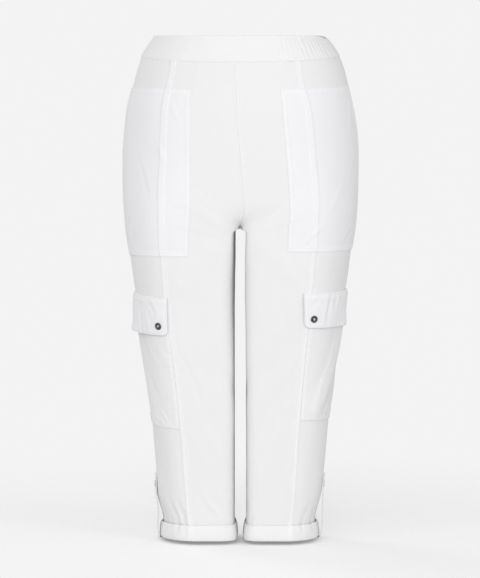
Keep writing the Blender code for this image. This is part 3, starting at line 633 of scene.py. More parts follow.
def columns(drop: float) -> Array:
    """Spaces the columns of the grid at a drop.

    Args:
        drop: The level.

    Returns:
        The u of every column.
    """
    front, back = FORM.arc(drop), FORM.arc(drop, True)
    pocket = FORM.u_at_x(drop, float(POCKET_X(drop)))
    princess = FORM.u_at_x(drop, float(PRINCESS_X(drop)))
    mouth = max(float(MOUTH_U(drop)), princess + 0.06)
    cargo_back = 1 + (1 - princess) * front / back
    as_hips = float(ease((CROTCH - drop) / FORM.thigh_blend))
    lines = {"centre": 0, "pocket": pocket, "princess": princess, "mouth": mouth, "side": 1}
    lines |= {"cargo_back": cargo_back, "centre_back": 2}

    def u_of(stop: Stop) -> float:
        """The u of a column's stop."""
        behind = stop.line in ("side", "cargo_back", "centre_back")
        return lines[stop.line] + stop.offset / (back if behind else front)

    def knotted(knots: Sequence[Knot], reach: float, behind: bool, steps: Sequence[int]) -> Array:
        """Shares of the way from the inseam or centre seam to a line, closer together where the leg turns.

        Args:
            knots: The columns whose places are listed.
            reach: How far the line is, in u.
            behind: True for the back.
            steps: How many columns go from each knot to the next.

        Returns:
            The share of each column.
        """
        shares = np.array([knot.share for knot in knots]) * reach
        angles = FORM.share_at_angle(drop, np.array([knot.angle for knot in knots]), behind)
        at_knots = np.append(as_hips * shares + (1 - as_hips) * angles, reach)
        spread = np.cumsum((0, *steps)) / sum(steps)
        return np.interp(np.linspace(0, 1, sum(steps) + 1), spread, at_knots) / reach

    us: list[float] = []
    for (stops, steps), (following, _) in zip(STOPS, (*STOPS[1:], ([], 0))):
        us += [u_of(stop) for stop in stops]
        if not steps:
            continue
        t = np.linspace(0, 1, steps + 1)
        if stops[0].line == "centre":
            t = knotted(FRONT_KNOTS, pocket, False, FRONT_STEPS)
        elif stops[0].line == "cargo_back":
            t = 1 - knotted(BACK_KNOTS, 2 - cargo_back, True, BACK_STEPS)[::-1]
        us += list(us[-1] + (u_of(following[0]) - us[-1]) * t[1:-1])
    return np.array(us)


def row_drops(side: Side) -> list[float]:
    """Spaces the rows of a side's grid, with the pieces' edges among them.

    Args:
        side: The side.

    Returns:
        The drop of every row.
    """
    marked = [side.flap_top, side.flap_top + 1.1, CUFF_TOP, LEG_END, 87.0]
    for edge, steps in (
        (BAND_HEIGHT, (-0.15, -0.02, 0.06, 0.18, 0.35)),
        (side.pocket_top, (-0.1, 0, 0.1, 0.3, 0.72, 0.86)),
        (CROTCH, (-7.4, -5.2, -3.4, -2.4, -1.8, -1.3, -0.9, -0.6, -0.3, -0.1, 0)),
        (CROTCH, (0.1, 0.22, 0.4, 0.6, 0.9, 1.3, 1.8)),
        (side.pocket_bottom, (-0.86, -0.72, -0.3, -0.1, 0, 0.15)),
        (side.cargo_bottom, (-0.86, -0.72, -0.3, -0.1, 0, 0.15)),
    ):
        marked += [edge + step for step in steps]
    marked = sorted(set(round(d, 4) for d in marked))
    drops = [marked[0]]
    for a, b in zip(marked, marked[1:]):
        n = max(1, math.ceil((b - a) / WIDEST_ROW))
        drops += [round(a + (b - a) * i / n, 4) for i in range(1, n + 1)]
    return drops


def cubic(values: Array, rows: Array, cols: Array) -> Array:
    """Reads a grid of values between its points, along a smooth curve.

    Args:
        values: The grid, rows by columns by anything.
        rows: Places down it.
        cols: Places across it.

    Returns:
        The values there.
    """

    def weights(t: Array) -> list[Array]:
        """The shares of the four points around a place."""
        t2, t3 = t * t, t * t * t
        return [(-t3 + 2 * t2 - t) / 2, (3 * t3 - 5 * t2 + 2) / 2, (-3 * t3 + 4 * t2 + t) / 2, (t3 - t2) / 2]

    rows, cols = np.broadcast_arrays(np.asarray(rows, float), np.asarray(cols, float))
    height, width = values.shape[:2]
    i = np.clip(np.floor(rows).astype(int), 0, height - 2)
    j = np.clip(np.floor(cols).astype(int), 0, width - 2)
    down, across = weights(rows - i), weights(cols - j)
    total = 0.0
    for a in range(4):
        ia = np.clip(i + a - 1, 0, height - 1)
        for b in range(4):
            jb = np.clip(j + b - 1, 0, width - 1)
            share = down[a] * across[b]
            total = total + values[ia, jb] * share.reshape(share.shape + (1,) * (values.ndim - 2))
    return total


@dataclass
class Leg:
    """The cloth of one side of the garment, as a fine grid of points with the direction out of the cloth at each."""

    side: Side
    uneven: float = 0.07  # the cloth's soft unevenness
    crumple: float = 0.024  # and its finer one
    ripple: float = 0.09  # below the waistband
    drops: Array = field(init=False)
    us: Array = field(init=False)
    around: Array = field(init=False)
    points: Array = field(init=False)
    normals: Array = field(init=False)

    def __post_init__(self) -> None:
        """Lays the grid on the form, and folds and creases it."""
        self.drops = np.array(row_drops(self.side))
        self.us = np.array([columns(drop) for drop in self.drops])
        arcs = np.array([(FORM.arc(drop), FORM.arc(drop, True)) for drop in self.drops])
        self.around = (1 - self.us) * np.where(self.us > 1, arcs[:, 1:], arcs[:, :1])
        self.points = np.array([self.level(drop, row) for drop, row in zip(self.drops, self.us)])
        down = np.broadcast_to(self.drops[:, None], self.us.shape)
        free = ease((self.around + arcs[:, 1:]) / 3) * ease((arcs[:, :1] - self.around) / 3)
        lift = self.relief(down, self.around, free)
        self.points = self.points + self.directions_out() * lift[..., None]
        self.normals = self.directions_out()

    def level(self, drop: float, us: Array) -> Array:
        """Points of the plain surface at a drop, before it is folded and turned as worn.

        Args:
            drop: The level.
            us: The places around it, from the front to the back.

        Returns:
            The points there.
        """
        halves = []
        for behind, chosen in ((False, us[us <= 1]), (True, us[us > 1])):
            part = FORM.section(round(float(drop), 4), behind)
            s = (2 - chosen if behind else chosen) * part.along[-1]
            x, y, reach = (np.interp(s, part.along, column) for column in (part.x, part.y, part.reach))
            forward = -reach if behind else reach
            tilt = self.side.tilt(drop) * (1 - reach**6 if behind else 1)  # both sides' centre backs are level
            lower = DIP(drop) * forward**2 + tilt * forward
            halves.append(np.stack([self.side.sign * x, y, BAND_MIDDLE - drop - lower], axis=-1))
        return np.concatenate(halves)

    def relief(self, drop: Array, around: Array, free: Array) -> Array:
        """How far folds, creases and the cloth's slight unevenness lift it.

        Args:
            drop: The places' drops.
            around: Their distances around.
            free: 0 at the centre seams and inseams, where both sides have to meet, and 1 elsewhere.

        Returns:
            The lifts there.
        """
        total = lifted((*FOLDS, *CREASES), self.side.name, drop, around)
        seed = self.side.seed
        inside = ease((CROTCH - 1.5 - drop) / 2) * ease((np.abs(around - 22) - 2) / 4)
        inside = np.maximum(inside, ease((drop - CROTCH - 1) / 3))
        total += self.uneven * inside * free * Waves(seed)(around / 5.5, drop / 8.0)
        total += self.crumple * inside * free * Waves(seed + 1)(around / 2.1 + drop / 9, drop / 3.4)
        return total + self.waist_ripples(drop, around) * free

    def waist_ripples(self, drop: Array, around: Array) -> Array:
        """The gathers' ends, which run down from the waistband and die away.

        Args:
            drop: The places' drops.
            around: Their distances around.

        Returns:
            How far they lift the cloth.
        """
        reach = np.where(around > 0, 2.6, 4.2)
        below = np.clip(drop - BAND_HEIGHT, 0, None)
        fade = np.exp(-((below / reach) ** 1.3)) * ease((below + 0.4) / 0.9)
        strength = ease((13.5 - around) / 3.5) * np.where(around > 0, 0.55, 1.0)
        waves = Waves(self.side.seed + 2)
        phase = 2 * math.pi * around / 1.25 + 2.2 * waves(around / 3.0, below / 5.0)
        uneven = 0.6 + 0.4 * waves(around / 2.3, 3.5)
        return self.ripple * fade * strength * uneven * np.cos(phase)

    def directions_out(self) -> Array:
        """Works out where the cloth faces. Above the crotch a row goes on as its mirror image across the middle, and
        below it as its own other end.

        Returns:
            The direction out of the cloth at each point.
        """
        p = self.points
        left, right = np.roll(p, 1, axis=1), np.roll(p, -1, axis=1)
        mirror = np.array((-1, 1, 1))
        for i, drop in enumerate(self.drops):
            if drop >= CROTCH:
                left[i, 0], right[i, -1] = p[i, -2], p[i, 1]
            else:
                left[i, 0], right[i, -1] = p[i, 1] * mirror, p[i, -2] * mirror
        above, below = np.concatenate([p[:1], p[:-1]]), np.concatenate([p[1:], p[-1:]])
        out = np.cross(below - above, right - left) * self.side.sign
        out[:3, :, 2] = 0.0
        return unit(out)

    def row(self, drop: float) -> int:
        """The grid's row at a drop."""
        return int(np.argmin(np.abs(self.drops - drop)))

    def away(self, line: str) -> Array:
        """The distance of each point from a line of the garment, to the back as more than nothing."""
        return self.around[:, [column_of(line)]] - self.around

    def moved(self, rows: slice, cols: slice, out: Array | float) -> Array:
        """Points of a part of the grid, moved out of the cloth and turned as worn.

        Args:
            rows: The part's rows.
            cols: Its columns.
            out: How far they move.

        Returns:
            The moved points, which stay in their own half of the garment.
        """
        base, normals = self.points[rows, cols], self.normals[rows, cols]
        moved = base + normals * np.broadcast_to(out, base.shape[:2])[..., None]
        own_half = np.maximum(moved[..., 0] * self.side.sign, HALF_SLIT)
        moved[..., 0] = own_half * self.side.sign
        return as_worn(moved)

    def locate(self, drop: Array, u: Array) -> tuple[Array, Array]:
        """Finds places given by drop and u in the grid.

        Args:
            drop: The drops.
            u: The places around.

        Returns:
            Their rows and columns, with parts of one.
        """
        drop, u = np.broadcast_arrays(np.asarray(drop, float), np.asarray(u, float))
        rows = np.interp(drop, self.drops, np.arange(len(self.drops)))
        i = np.clip(np.floor(rows).astype(int), 0, len(self.drops) - 2)
        t = rows - i
        cols = np.empty(u.shape)
        count = np.arange(self.us.shape[1])
        for place in np.ndindex(u.shape):
            line = self.us[i[place]] * (1 - t[place]) + self.us[i[place] + 1] * t[place]
            cols[place] = np.interp(u[place], line, count)
        return rows, cols

    def place(self, drop: Array, u: Array, out: Array | float) -> tuple[Array, Array]:
        """Points that lie out from the cloth at places given by drop and u, and the directions there.

        Args:
            drop: The drops.
            u: The places around.
            out: How far out of the cloth.

        Returns:
            The points as worn, and the directions out of the cloth.
        """
        rows, cols = self.locate(drop, u)
        base, normals = cubic(self.points, rows, cols), unit(cubic(self.normals, rows, cols))
        out = np.broadcast_to(out, rows.shape)[..., None]
        points = as_worn(base + normals * out)
        return points, unit(as_worn(base + normals * (out + 0.5)) - points)


# --- Finishes ---


class Nodes:
    """A short way to place and join shader nodes in a tree."""

    def __init__(self, tree: NodeTree) -> None:
        """Takes the tree to work in."""
        self.tree = tree

    def add(self, kind: str, **settings: object) -> Node:
        """Adds a node.

        Args:
            kind: Its type, after the word ShaderNode.
            settings: Some of its settings.

        Returns:
            The node.
        """
        node = self.tree.nodes.new(f"ShaderNode{kind}")
        for name, value in settings.items():
            setattr(node, name, value)
        return node

    def join(self, source: Value, target: NodeSocket) -> None:
        """Joins a socket to another one, or sets it.

        Args:
            source: The other socket, or a plain value.
            target: The socket that takes it.
        """
        if isinstance(source, NodeSocket):
            self.tree.links.new(source, target)
        else:
            target.default_value = source

    def math(self, operation: str, *values: Value, clamp: bool = False) -> NodeSocket:
        """Adds a Math node.

        Args:
            operation: What it does.
            values: What goes in.
            clamp: Whether the result is kept from 0 to 1.

        Returns:
            Its output.
        """
        node = self.add("Math", operation=operation, use_clamp=clamp)
        for value, socket in zip(values, node.inputs):
            self.join(value, socket)
        return node.outputs[0]

    def plus(self, a: Value, b: Value) -> NodeSocket:
        """One value and another."""
        return self.math("ADD", a, b)

    def times(self, a: Value, b: Value, clamp: bool = False) -> NodeSocket:
        """One value times another."""
        return self.math("MULTIPLY", a, b, clamp=clamp)

    def mix(self, share: Value, a: Value, b: Value) -> NodeSocket:
        """Adds a node that mixes two colours.

        Args:
            share: How much of the second there is.
            a: The first colour.
            b: The second.

        Returns:
            The mixed colour.
        """
        node = self.add("Mix", data_type="RGBA")
        for value, socket in ((share, 0), (a, 6), (b, 7)):
            self.join(value, node.inputs[socket])
        return node.outputs[2]

    def noise(self, place: NodeSocket, scale: Value = 1.0, detail: float = 2.0, rough: float = 0.5) -> NodeSocket:
        """Adds a noise texture.

        Args:
            place: Where it is read.
            scale: How fine it is.
            detail: How many finer layers it has.
            rough: How strong they are.

        Returns:
            Its value.
        """
        node = self.add("TexNoise")
        for name, value in (("Vector", place), ("Scale", scale), ("Detail", detail), ("Roughness", rough)):
            self.join(value, node.inputs[name])
        return node.outputs["Fac"]

    def stretch(self, place: NodeSocket, *scale: float) -> NodeSocket:
        """Adds a node that scales a place.

        Args:
            place: The place.
            scale: How much, along each axis.

        Returns:
            The scaled place.
        """
        node = self.add("Mapping")
        self.join(place, node.inputs["Vector"])
        self.join(scale, node.inputs["Scale"])
        return node.outputs["Vector"]

    def grain(self) -> tuple[NodeSocket, NodeSocket, NodeSocket]:
        """The place on the cloth, in metres: both together, across the grain, and along it."""
        place, apart = self.add("UVMap", uv_map="UVMap").outputs[0], self.add("SeparateXYZ")
        self.join(place, apart.inputs[0])
        return place, apart.outputs[0], apart.outputs[1]

    def bump(self, height: NodeSocket, depth: float, shader: Node) -> None:
        """Gives a shader fine relief.

        Args:
            height: The relief's height.
            depth: How deep it is, in metres.
            shader: The shader.
        """
        node = self.add("Bump")
        for source, target in ((depth, "Distance"), (height, "Height")):
            self.join(source, node.inputs[target])
        self.join(node.outputs[0], shader.inputs["Normal"])


class ShaderEffect:
    """A shader effect that several materials use, as a node group with named inputs and outputs."""

    name = "effect"
    inputs: dict[str, float | Sequence[float]] = {}
    outputs: tuple[str, ...] = ()

    @classmethod
    def group(cls) -> NodeTree:
        """Makes the group the first time it is asked for.

        Returns:
            The group.
        """
        made = bpy.data.node_groups.get(cls.name)
        if made:
            return made
        made = bpy.data.node_groups.new(cls.name, "ShaderNodeTree")
        for name, value in cls.inputs.items():
            kind = "NodeSocketFloat" if isinstance(value, float) else "NodeSocketColor"
            made.interface.new_socket(name, in_out="INPUT", socket_type=kind).default_value = value
        for name in cls.outputs:
            kind = "NodeSocketColor" if name == "Color" else "NodeSocketFloat"
            made.interface.new_socket(name, in_out="OUTPUT", socket_type=kind)
        given, results = (made.nodes.new(kind) for kind in ("NodeGroupInput", "NodeGroupOutput"))
        cls.fill(Nodes(made), given.outputs, results.inputs)
        return made

    @classmethod
    def fill(cls, nodes: Nodes, given: NodeOutputs, results: NodeInputs) -> None:
        """Places the group's nodes."""
        raise NotImplementedError

    @classmethod
    def place(cls, nodes: Nodes, **values: Value) -> NodeOutputs:
        """Puts the group into a material.

        Args:
            nodes: The material's tree.
            values: Values of the group's inputs, with _ for a space in their names.

        Returns:
            The group's outputs.
        """
        node = nodes.add("Group", node_tree=cls.group())
        for name, value in values.items():
            nodes.join(value, node.inputs[name.replace("_", " ")])
        return node.outputs


class TwillWeave(ShaderEffect):
    """The fine slanting ribs of cotton twill, with thick and thin yarns, along the cloth's own grain."""

    name = "Twill weave"
    inputs = {"Yarns": 1900.0, "Slubs": 0.4, "Crinkle": 0.5}
    # the second output is a mask of painted shade for the weave's hollows
    outputs = ("Height", "Hollows")

    @classmethod
    def fill(cls, nodes: Nodes, given: NodeOutputs, results: NodeInputs) -> None:
        """Places the nodes of the weave: ribs, yarns, slubs and a soft crinkle, and a mask of painted shade for its
        hollows.

        Args:
            nodes: The group's tree.
            given: The group's values.
            results: What it puts out.
        """
        grain, x, y = nodes.grain()
        turns = nodes.times(given["Yarns"], 2 * math.pi)
        rib = nodes.math("SINE", nodes.times(nodes.plus(nodes.times(x, 0.5), nodes.times(y, 0.5)), turns))
        weft, warp = (nodes.times(nodes.math("SINE", nodes.times(way, turns)), 0.35) for way in (y, x))
        yarns = nodes.plus(rib, nodes.plus(weft, warp))
        slubs = nodes.plus(*(nodes.noise(nodes.stretch(grain, *scale)) for scale in ((900, 60, 1), (60, 900, 1))))
        crinkle = nodes.times(nodes.noise(nodes.stretch(grain, 260, 130, 1), 1.0, 4.0, 0.55), given["Crinkle"])
        height = nodes.plus(nodes.times(yarns, 0.18), nodes.times(slubs, given["Slubs"]))
        nodes.join(nodes.plus(height, nodes.times(crinkle, 3.0)), results["Height"])
        # painted shade: a mask that is high where the yarns lie low, to darken the colour in the weave's hollows
        nodes.join(nodes.math("MULTIPLY_ADD", yarns, -0.3, 0.5, clamp=True), results["Hollows"])


class LayeredTone(ShaderEffect):
    """The colour of white cloth: warmer and less bright where it is one layer, and whiter where layers lie on
    each other, with a soft uneven bleach and painted shade in the weave's hollows."""

    name = "Layered tone"
    inputs = {
        "One layer": (0.86, 0.86, 0.86, 1),
        "Many layers": (0.9, 0.9, 0.92, 1),
        "Unevenness": 0.3,
        "Hollows": 0.5,
    }
    outputs = ("Color", "Patches")

    @classmethod
    def fill(cls, nodes: Nodes, given: NodeOutputs, results: NodeInputs) -> None:
        """Places the nodes that count the layers, and those of the bleach and of the painted shade in the weave's
        hollows.

        Args:
            nodes: The group's tree.
            given: The group's values.
            results: What it puts out.
        """
        count = nodes.add("Attribute", attribute_name="layers").outputs["Fac"]
        share = nodes.times(nodes.math("SUBTRACT", count, 1.0), 0.5, clamp=True)
        where = nodes.add("TexCoord").outputs["Object"]
        patches = nodes.times(nodes.noise(nodes.stretch(where, 9, 9, 5), 1.0, 3.0), 0.8)
        patches = nodes.plus(patches, nodes.times(nodes.noise(where, 160.0), 0.2))
        tone = nodes.mix(share, given["One layer"], given["Many layers"])
        bleach_and_shade = nodes.times(nodes.times(patches, given["Unevenness"]), 0.08)
        # painted shade: the colour is darkened in the weave's hollows, on top of the random bleach
        bleach_and_shade = nodes.plus(bleach_and_shade, nodes.times(given["Hollows"], 0.02))
        nodes.join(nodes.mix(bleach_and_shade, tone, (0.6, 0.6, 0.62, 1)), results["Color"])
        nodes.join(patches, results["Patches"])


class HandledWear(ShaderEffect):
    """Where a hard trim has been rubbed: uneven patches, with fine scratches."""

    name = "Handled wear"
    inputs = {"Size": 900.0, "Amount": 0.5}
    outputs = ("Mask", "Height")

    @classmethod
    def fill(cls, nodes: Nodes, given: NodeOutputs, results: NodeInputs) -> None:
        """Places the nodes of the patches and scratches.

        Args:
            nodes: The group's tree.
            given: The group's values.
            results: What it puts out.
        """
        where = nodes.add("TexCoord").outputs["Object"]
        patches = nodes.times(nodes.noise(where, given["Size"], 4.0, 0.6), 0.7)
        both = nodes.plus(patches, nodes.times(nodes.noise(nodes.stretch(where, 4000, 900, 4000)), 0.3))
        mask = nodes.times(nodes.math("SUBTRACT", both, 0.42), given["Amount"])
        nodes.join(nodes.times(mask, 6.0, clamp=True), results["Mask"])
        nodes.join(both, results["Height"])


class TwistedYarn(ShaderEffect):
    """The slanting plies of a sewing thread."""

    name = "Twisted yarn"
    inputs = {"Plies": 2400.0}
    outputs = ("Height",)

    @classmethod
    def fill(cls, nodes: Nodes, given: NodeOutputs, results: NodeInputs) -> None:
        """Places the nodes of the plies."""
        _, x, y = nodes.grain()
        nodes.join(nodes.math("SINE", nodes.times(nodes.plus(x, y), given["Plies"])), results["Height"])


def set_sockets(shader: Node, **values: Value) -> None:
    """Sets the shader's own sockets, with _ for a space in their names."""
    for name, value in values.items():
        shader.inputs[name.replace("_", " ")].default_value = value


@dataclass(frozen=True)
class Finish:
    """The finish of a piece: a material that is made the first time a piece needs it."""

    name: str

    def __call__(self) -> Material:
        """Makes the material the first time.

        Returns:
            The material.
        """
        made = bpy.data.materials.get(self.name)
        if not made:
            made = bpy.data.materials.new(self.name)
            made.use_nodes = True
            self.dress(Nodes(made.node_tree), made.node_tree.nodes["Principled BSDF"])
        return made

    def dress(self, nodes: Nodes, shader: Node) -> None:
        """Fills the material's tree."""
        raise NotImplementedError


@dataclass(frozen=True)
class Twill(Finish):
    """White cotton twill, washed soft."""

    one_layer: Color = (0.82, 0.82, 0.822)
    many_layers: Color = (0.86, 0.86, 0.873)
    crinkle: float = 0.5
    depth: float = 0.00012

    def dress(self, nodes: Nodes, shader: Node) -> None:
        """Weaves the cloth, tones it by its layers, and paints shade into the weave's hollows.

        Args:
            nodes: The material's tree.
            shader: Its shader.
        """
        weave = TwillWeave.place(nodes, Crinkle=self.crinkle)
        tones = {"One_layer": (*self.one_layer, 1), "Many_layers": (*self.many_layers, 1)}
        # the tone gets its painted shade for the weave's hollows from the weave
        tone = LayeredTone.place(nodes, **tones, Hollows=weave["Hollows"])
        nodes.bump(weave["Height"], self.depth, shader)
        nodes.join(tone["Color"], shader.inputs["Base Color"])
        nodes.join(nodes.math("MULTIPLY_ADD", tone["Patches"], 0.12, 0.8), shader.inputs["Roughness"])
        set_sockets(shader, Sheen_Weight=0.12, Sheen_Roughness=0.5, Specular_IOR_Level=0.25)


@dataclass(frozen=True)
class SewingThread(Finish):
    """White polyester thread, a little glossier than the cloth."""

    color: Color = (0.9, 0.9, 0.9)
    depth: float = 0.00004

    def dress(self, nodes: Nodes, shader: Node) -> None:
        """Twists the thread, and paints shade into the grooves between its plies.

        Args:
            nodes: The material's tree.
            shader: Its shader.
        """
        plies = TwistedYarn.place(nodes)["Height"]
        nodes.bump(plies, self.depth, shader)
        # painted shade: the colour is darker where the plies' relief is low, in the grooves between them
        share = nodes.math("MULTIPLY_ADD", plies, 0.5, 0.5, clamp=True)
        nodes.join(nodes.mix(share, darker(self.color, 0.9), (*self.color, 1)), shader.inputs["Base Color"])
        set_sockets(shader, Roughness=0.55, Sheen_Weight=0.1, Specular_IOR_Level=0.4)


@dataclass(frozen=True)
class TrimMetal(Finish):
    """Plated metal, rubbed brighter in places."""

    plating: Color
    rubbed: Color
    roughness: float
    depth: float = 0.00002

    def dress(self, nodes: Nodes, shader: Node) -> None:
        """Plates the metal and rubs it.

        Args:
            nodes: The material's tree.
            shader: Its shader.
        """
        wear = HandledWear.place(nodes, Size=1400.0, Amount=0.7)
        nodes.join(nodes.mix(wear["Mask"], (*self.plating, 1), (*self.rubbed, 1)), shader.inputs["Base Color"])
        nodes.join(nodes.math("MULTIPLY_ADD", wear["Mask"], -0.12, self.roughness), shader.inputs["Roughness"])
        nodes.bump(wear["Height"], self.depth, shader)
        set_sockets(shader, Metallic=1.0)


@dataclass(frozen=True)
class ButtonResin(Finish):
    """White polished resin."""

    color: Color = (0.86, 0.86, 0.84)

    def dress(self, nodes: Nodes, shader: Node) -> None:
        """Makes the resin cloudy, and dulls it where it is rubbed.

        Args:
            nodes: The material's tree.
            shader: Its shader.
        """
        wear = HandledWear.place(nodes, Size=300.0, Amount=0.4)
        cloudy = nodes.mix(wear["Mask"], (*self.color, 1), darker(self.color, 0.93))
        nodes.join(cloudy, shader.inputs["Base Color"])
        nodes.join(nodes.math("MULTIPLY_ADD", wear["Mask"], 0.15, 0.25), shader.inputs["Roughness"])
        set_sockets(shader, Coat_Weight=0.3, Coat_Roughness=0.15)


@dataclass(frozen=True)
class PaleFloor(Finish):
    """A plain pale floor that melts into the background."""

    fade_from: float = 0.25
    fade_to: float = 1.3
    glow: float = 0.22  # how much of its brightness is its own, so that it meets the background

    def dress(self, nodes: Nodes, shader: Node) -> None:
        """Fades the floor out, and lets the camera alone see its glow.

        Args:
            nodes: The material's tree.
            shader: Its shader.
        """
        where = nodes.add("TexCoord").outputs["Object"]
        distance = nodes.add("VectorMath", operation="LENGTH")
        nodes.join(where, distance.inputs[0])
        fade = nodes.add("MapRange", interpolation_type="SMOOTHSTEP")
        values = {"Value": distance.outputs["Value"], "From Min": self.fade_from, "From Max": self.fade_to}
        for name, value in (values | {"To Min": 1.0, "To Max": 0.0}).items():
            nodes.join(value, fade.inputs[name])
        nodes.join(fade.outputs[0], shader.inputs["Alpha"])
        grain = nodes.mix(nodes.noise(where, 40.0, 3.0), (0.78, 0.78, 0.78, 1), (0.8, 0.8, 0.8, 1))
        nodes.join(grain, shader.inputs["Base Color"])
        nodes.join(nodes.add("LightPath").outputs["Is Camera Ray"], shader.inputs["Emission Strength"])
        glow = (self.glow, self.glow, self.glow, 1)
        set_sockets(shader, Roughness=0.9, Specular_IOR_Level=0.1, Emission_Color=glow)


def darker(color: Color, share: float) -> tuple[float, float, float, float]:
    """A share of a colour's brightness."""
    return (*(c * share for c in color), 1)


SHELL = Twill("white twill")
POCKETING = Twill("white twill pockets", (0.84, 0.84, 0.855), (0.868, 0.868, 0.885), 0.55)
THREAD = SewingThread("white thread")
GUNMETAL = TrimMetal("dark plated metal", (0.06, 0.06, 0.062), (0.22, 0.22, 0.225), 0.38)
NICKEL = TrimMetal("bright metal", (0.62, 0.62, 0.63), (0.8, 0.8, 0.8), 0.3)
RESIN = ButtonResin("white resin")


# --- Meshes ---


@dataclass
class MeshMaker:
    """Puts meshes into the scene in metres, and keeps count of them."""

    triangles: int = 0
    made: list[str] = field(default_factory=list)

    def add(
        self,
        name: str,
        vertices: Array,
        faces: Sequence[Sequence[int]],
        finish: Finish,
        uv: Array | None = None,
        layers: Array | None = None,
        sharp: float = 42.0,
    ) -> Object:
        """Makes one object.

        Args:
            name: Its name.
            vertices: Its points in cm.
            faces: The corners of its faces.
            finish: What makes its material.
            uv: A place on the cloth for each point, in metres.
            layers: How many layers of cloth lie at each point.
            sharp: The angle in degrees above which an edge is sharp.

        Returns:
            The object, riding on the part's body.
        """
        mesh = bpy.data.meshes.new(name)
        mesh.from_pydata((np.asarray(vertices) * CM).tolist(), [], faces)
        work = bmesh.new()
        work.from_mesh(mesh)
        bmesh.ops.recalc_face_normals(work, faces=work.faces)
        work.to_mesh(mesh)
        work.free()
        if uv is not None or layers is not None:
            corner = np.empty(len(mesh.loops), dtype=np.int32)
            mesh.loops.foreach_get("vertex_index", corner)
            if uv is not None:
                mesh.uv_layers.new(name="UVMap").data.foreach_set("uv", np.asarray(uv)[corner].ravel())
            if layers is not None:
                mesh.attributes.new("layers", "FLOAT", "POINT").data.foreach_set("value", np.ravel(layers))
        mesh.shade_smooth()
        mesh.set_sharp_from_angle(angle=math.radians(sharp))
        mesh.materials.append(finish())
        made = bpy.data.objects.new(name, mesh)
        bpy.context.scene.collection.objects.link(made)
        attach(made, "root")
        count = sum(len(face) - 2 for face in faces)
        self.triangles += count
        self.made.append(name)
        log.info("%-24s %7d triangles", name, count)
        return made


MAKER = MeshMaker()


class Cut(NamedTuple):
    """The flat size a piece of cloth was cut to, in metres: width, then length, and the area if not a rectangle."""

    flat: tuple[float, float]
    area: float | None = None


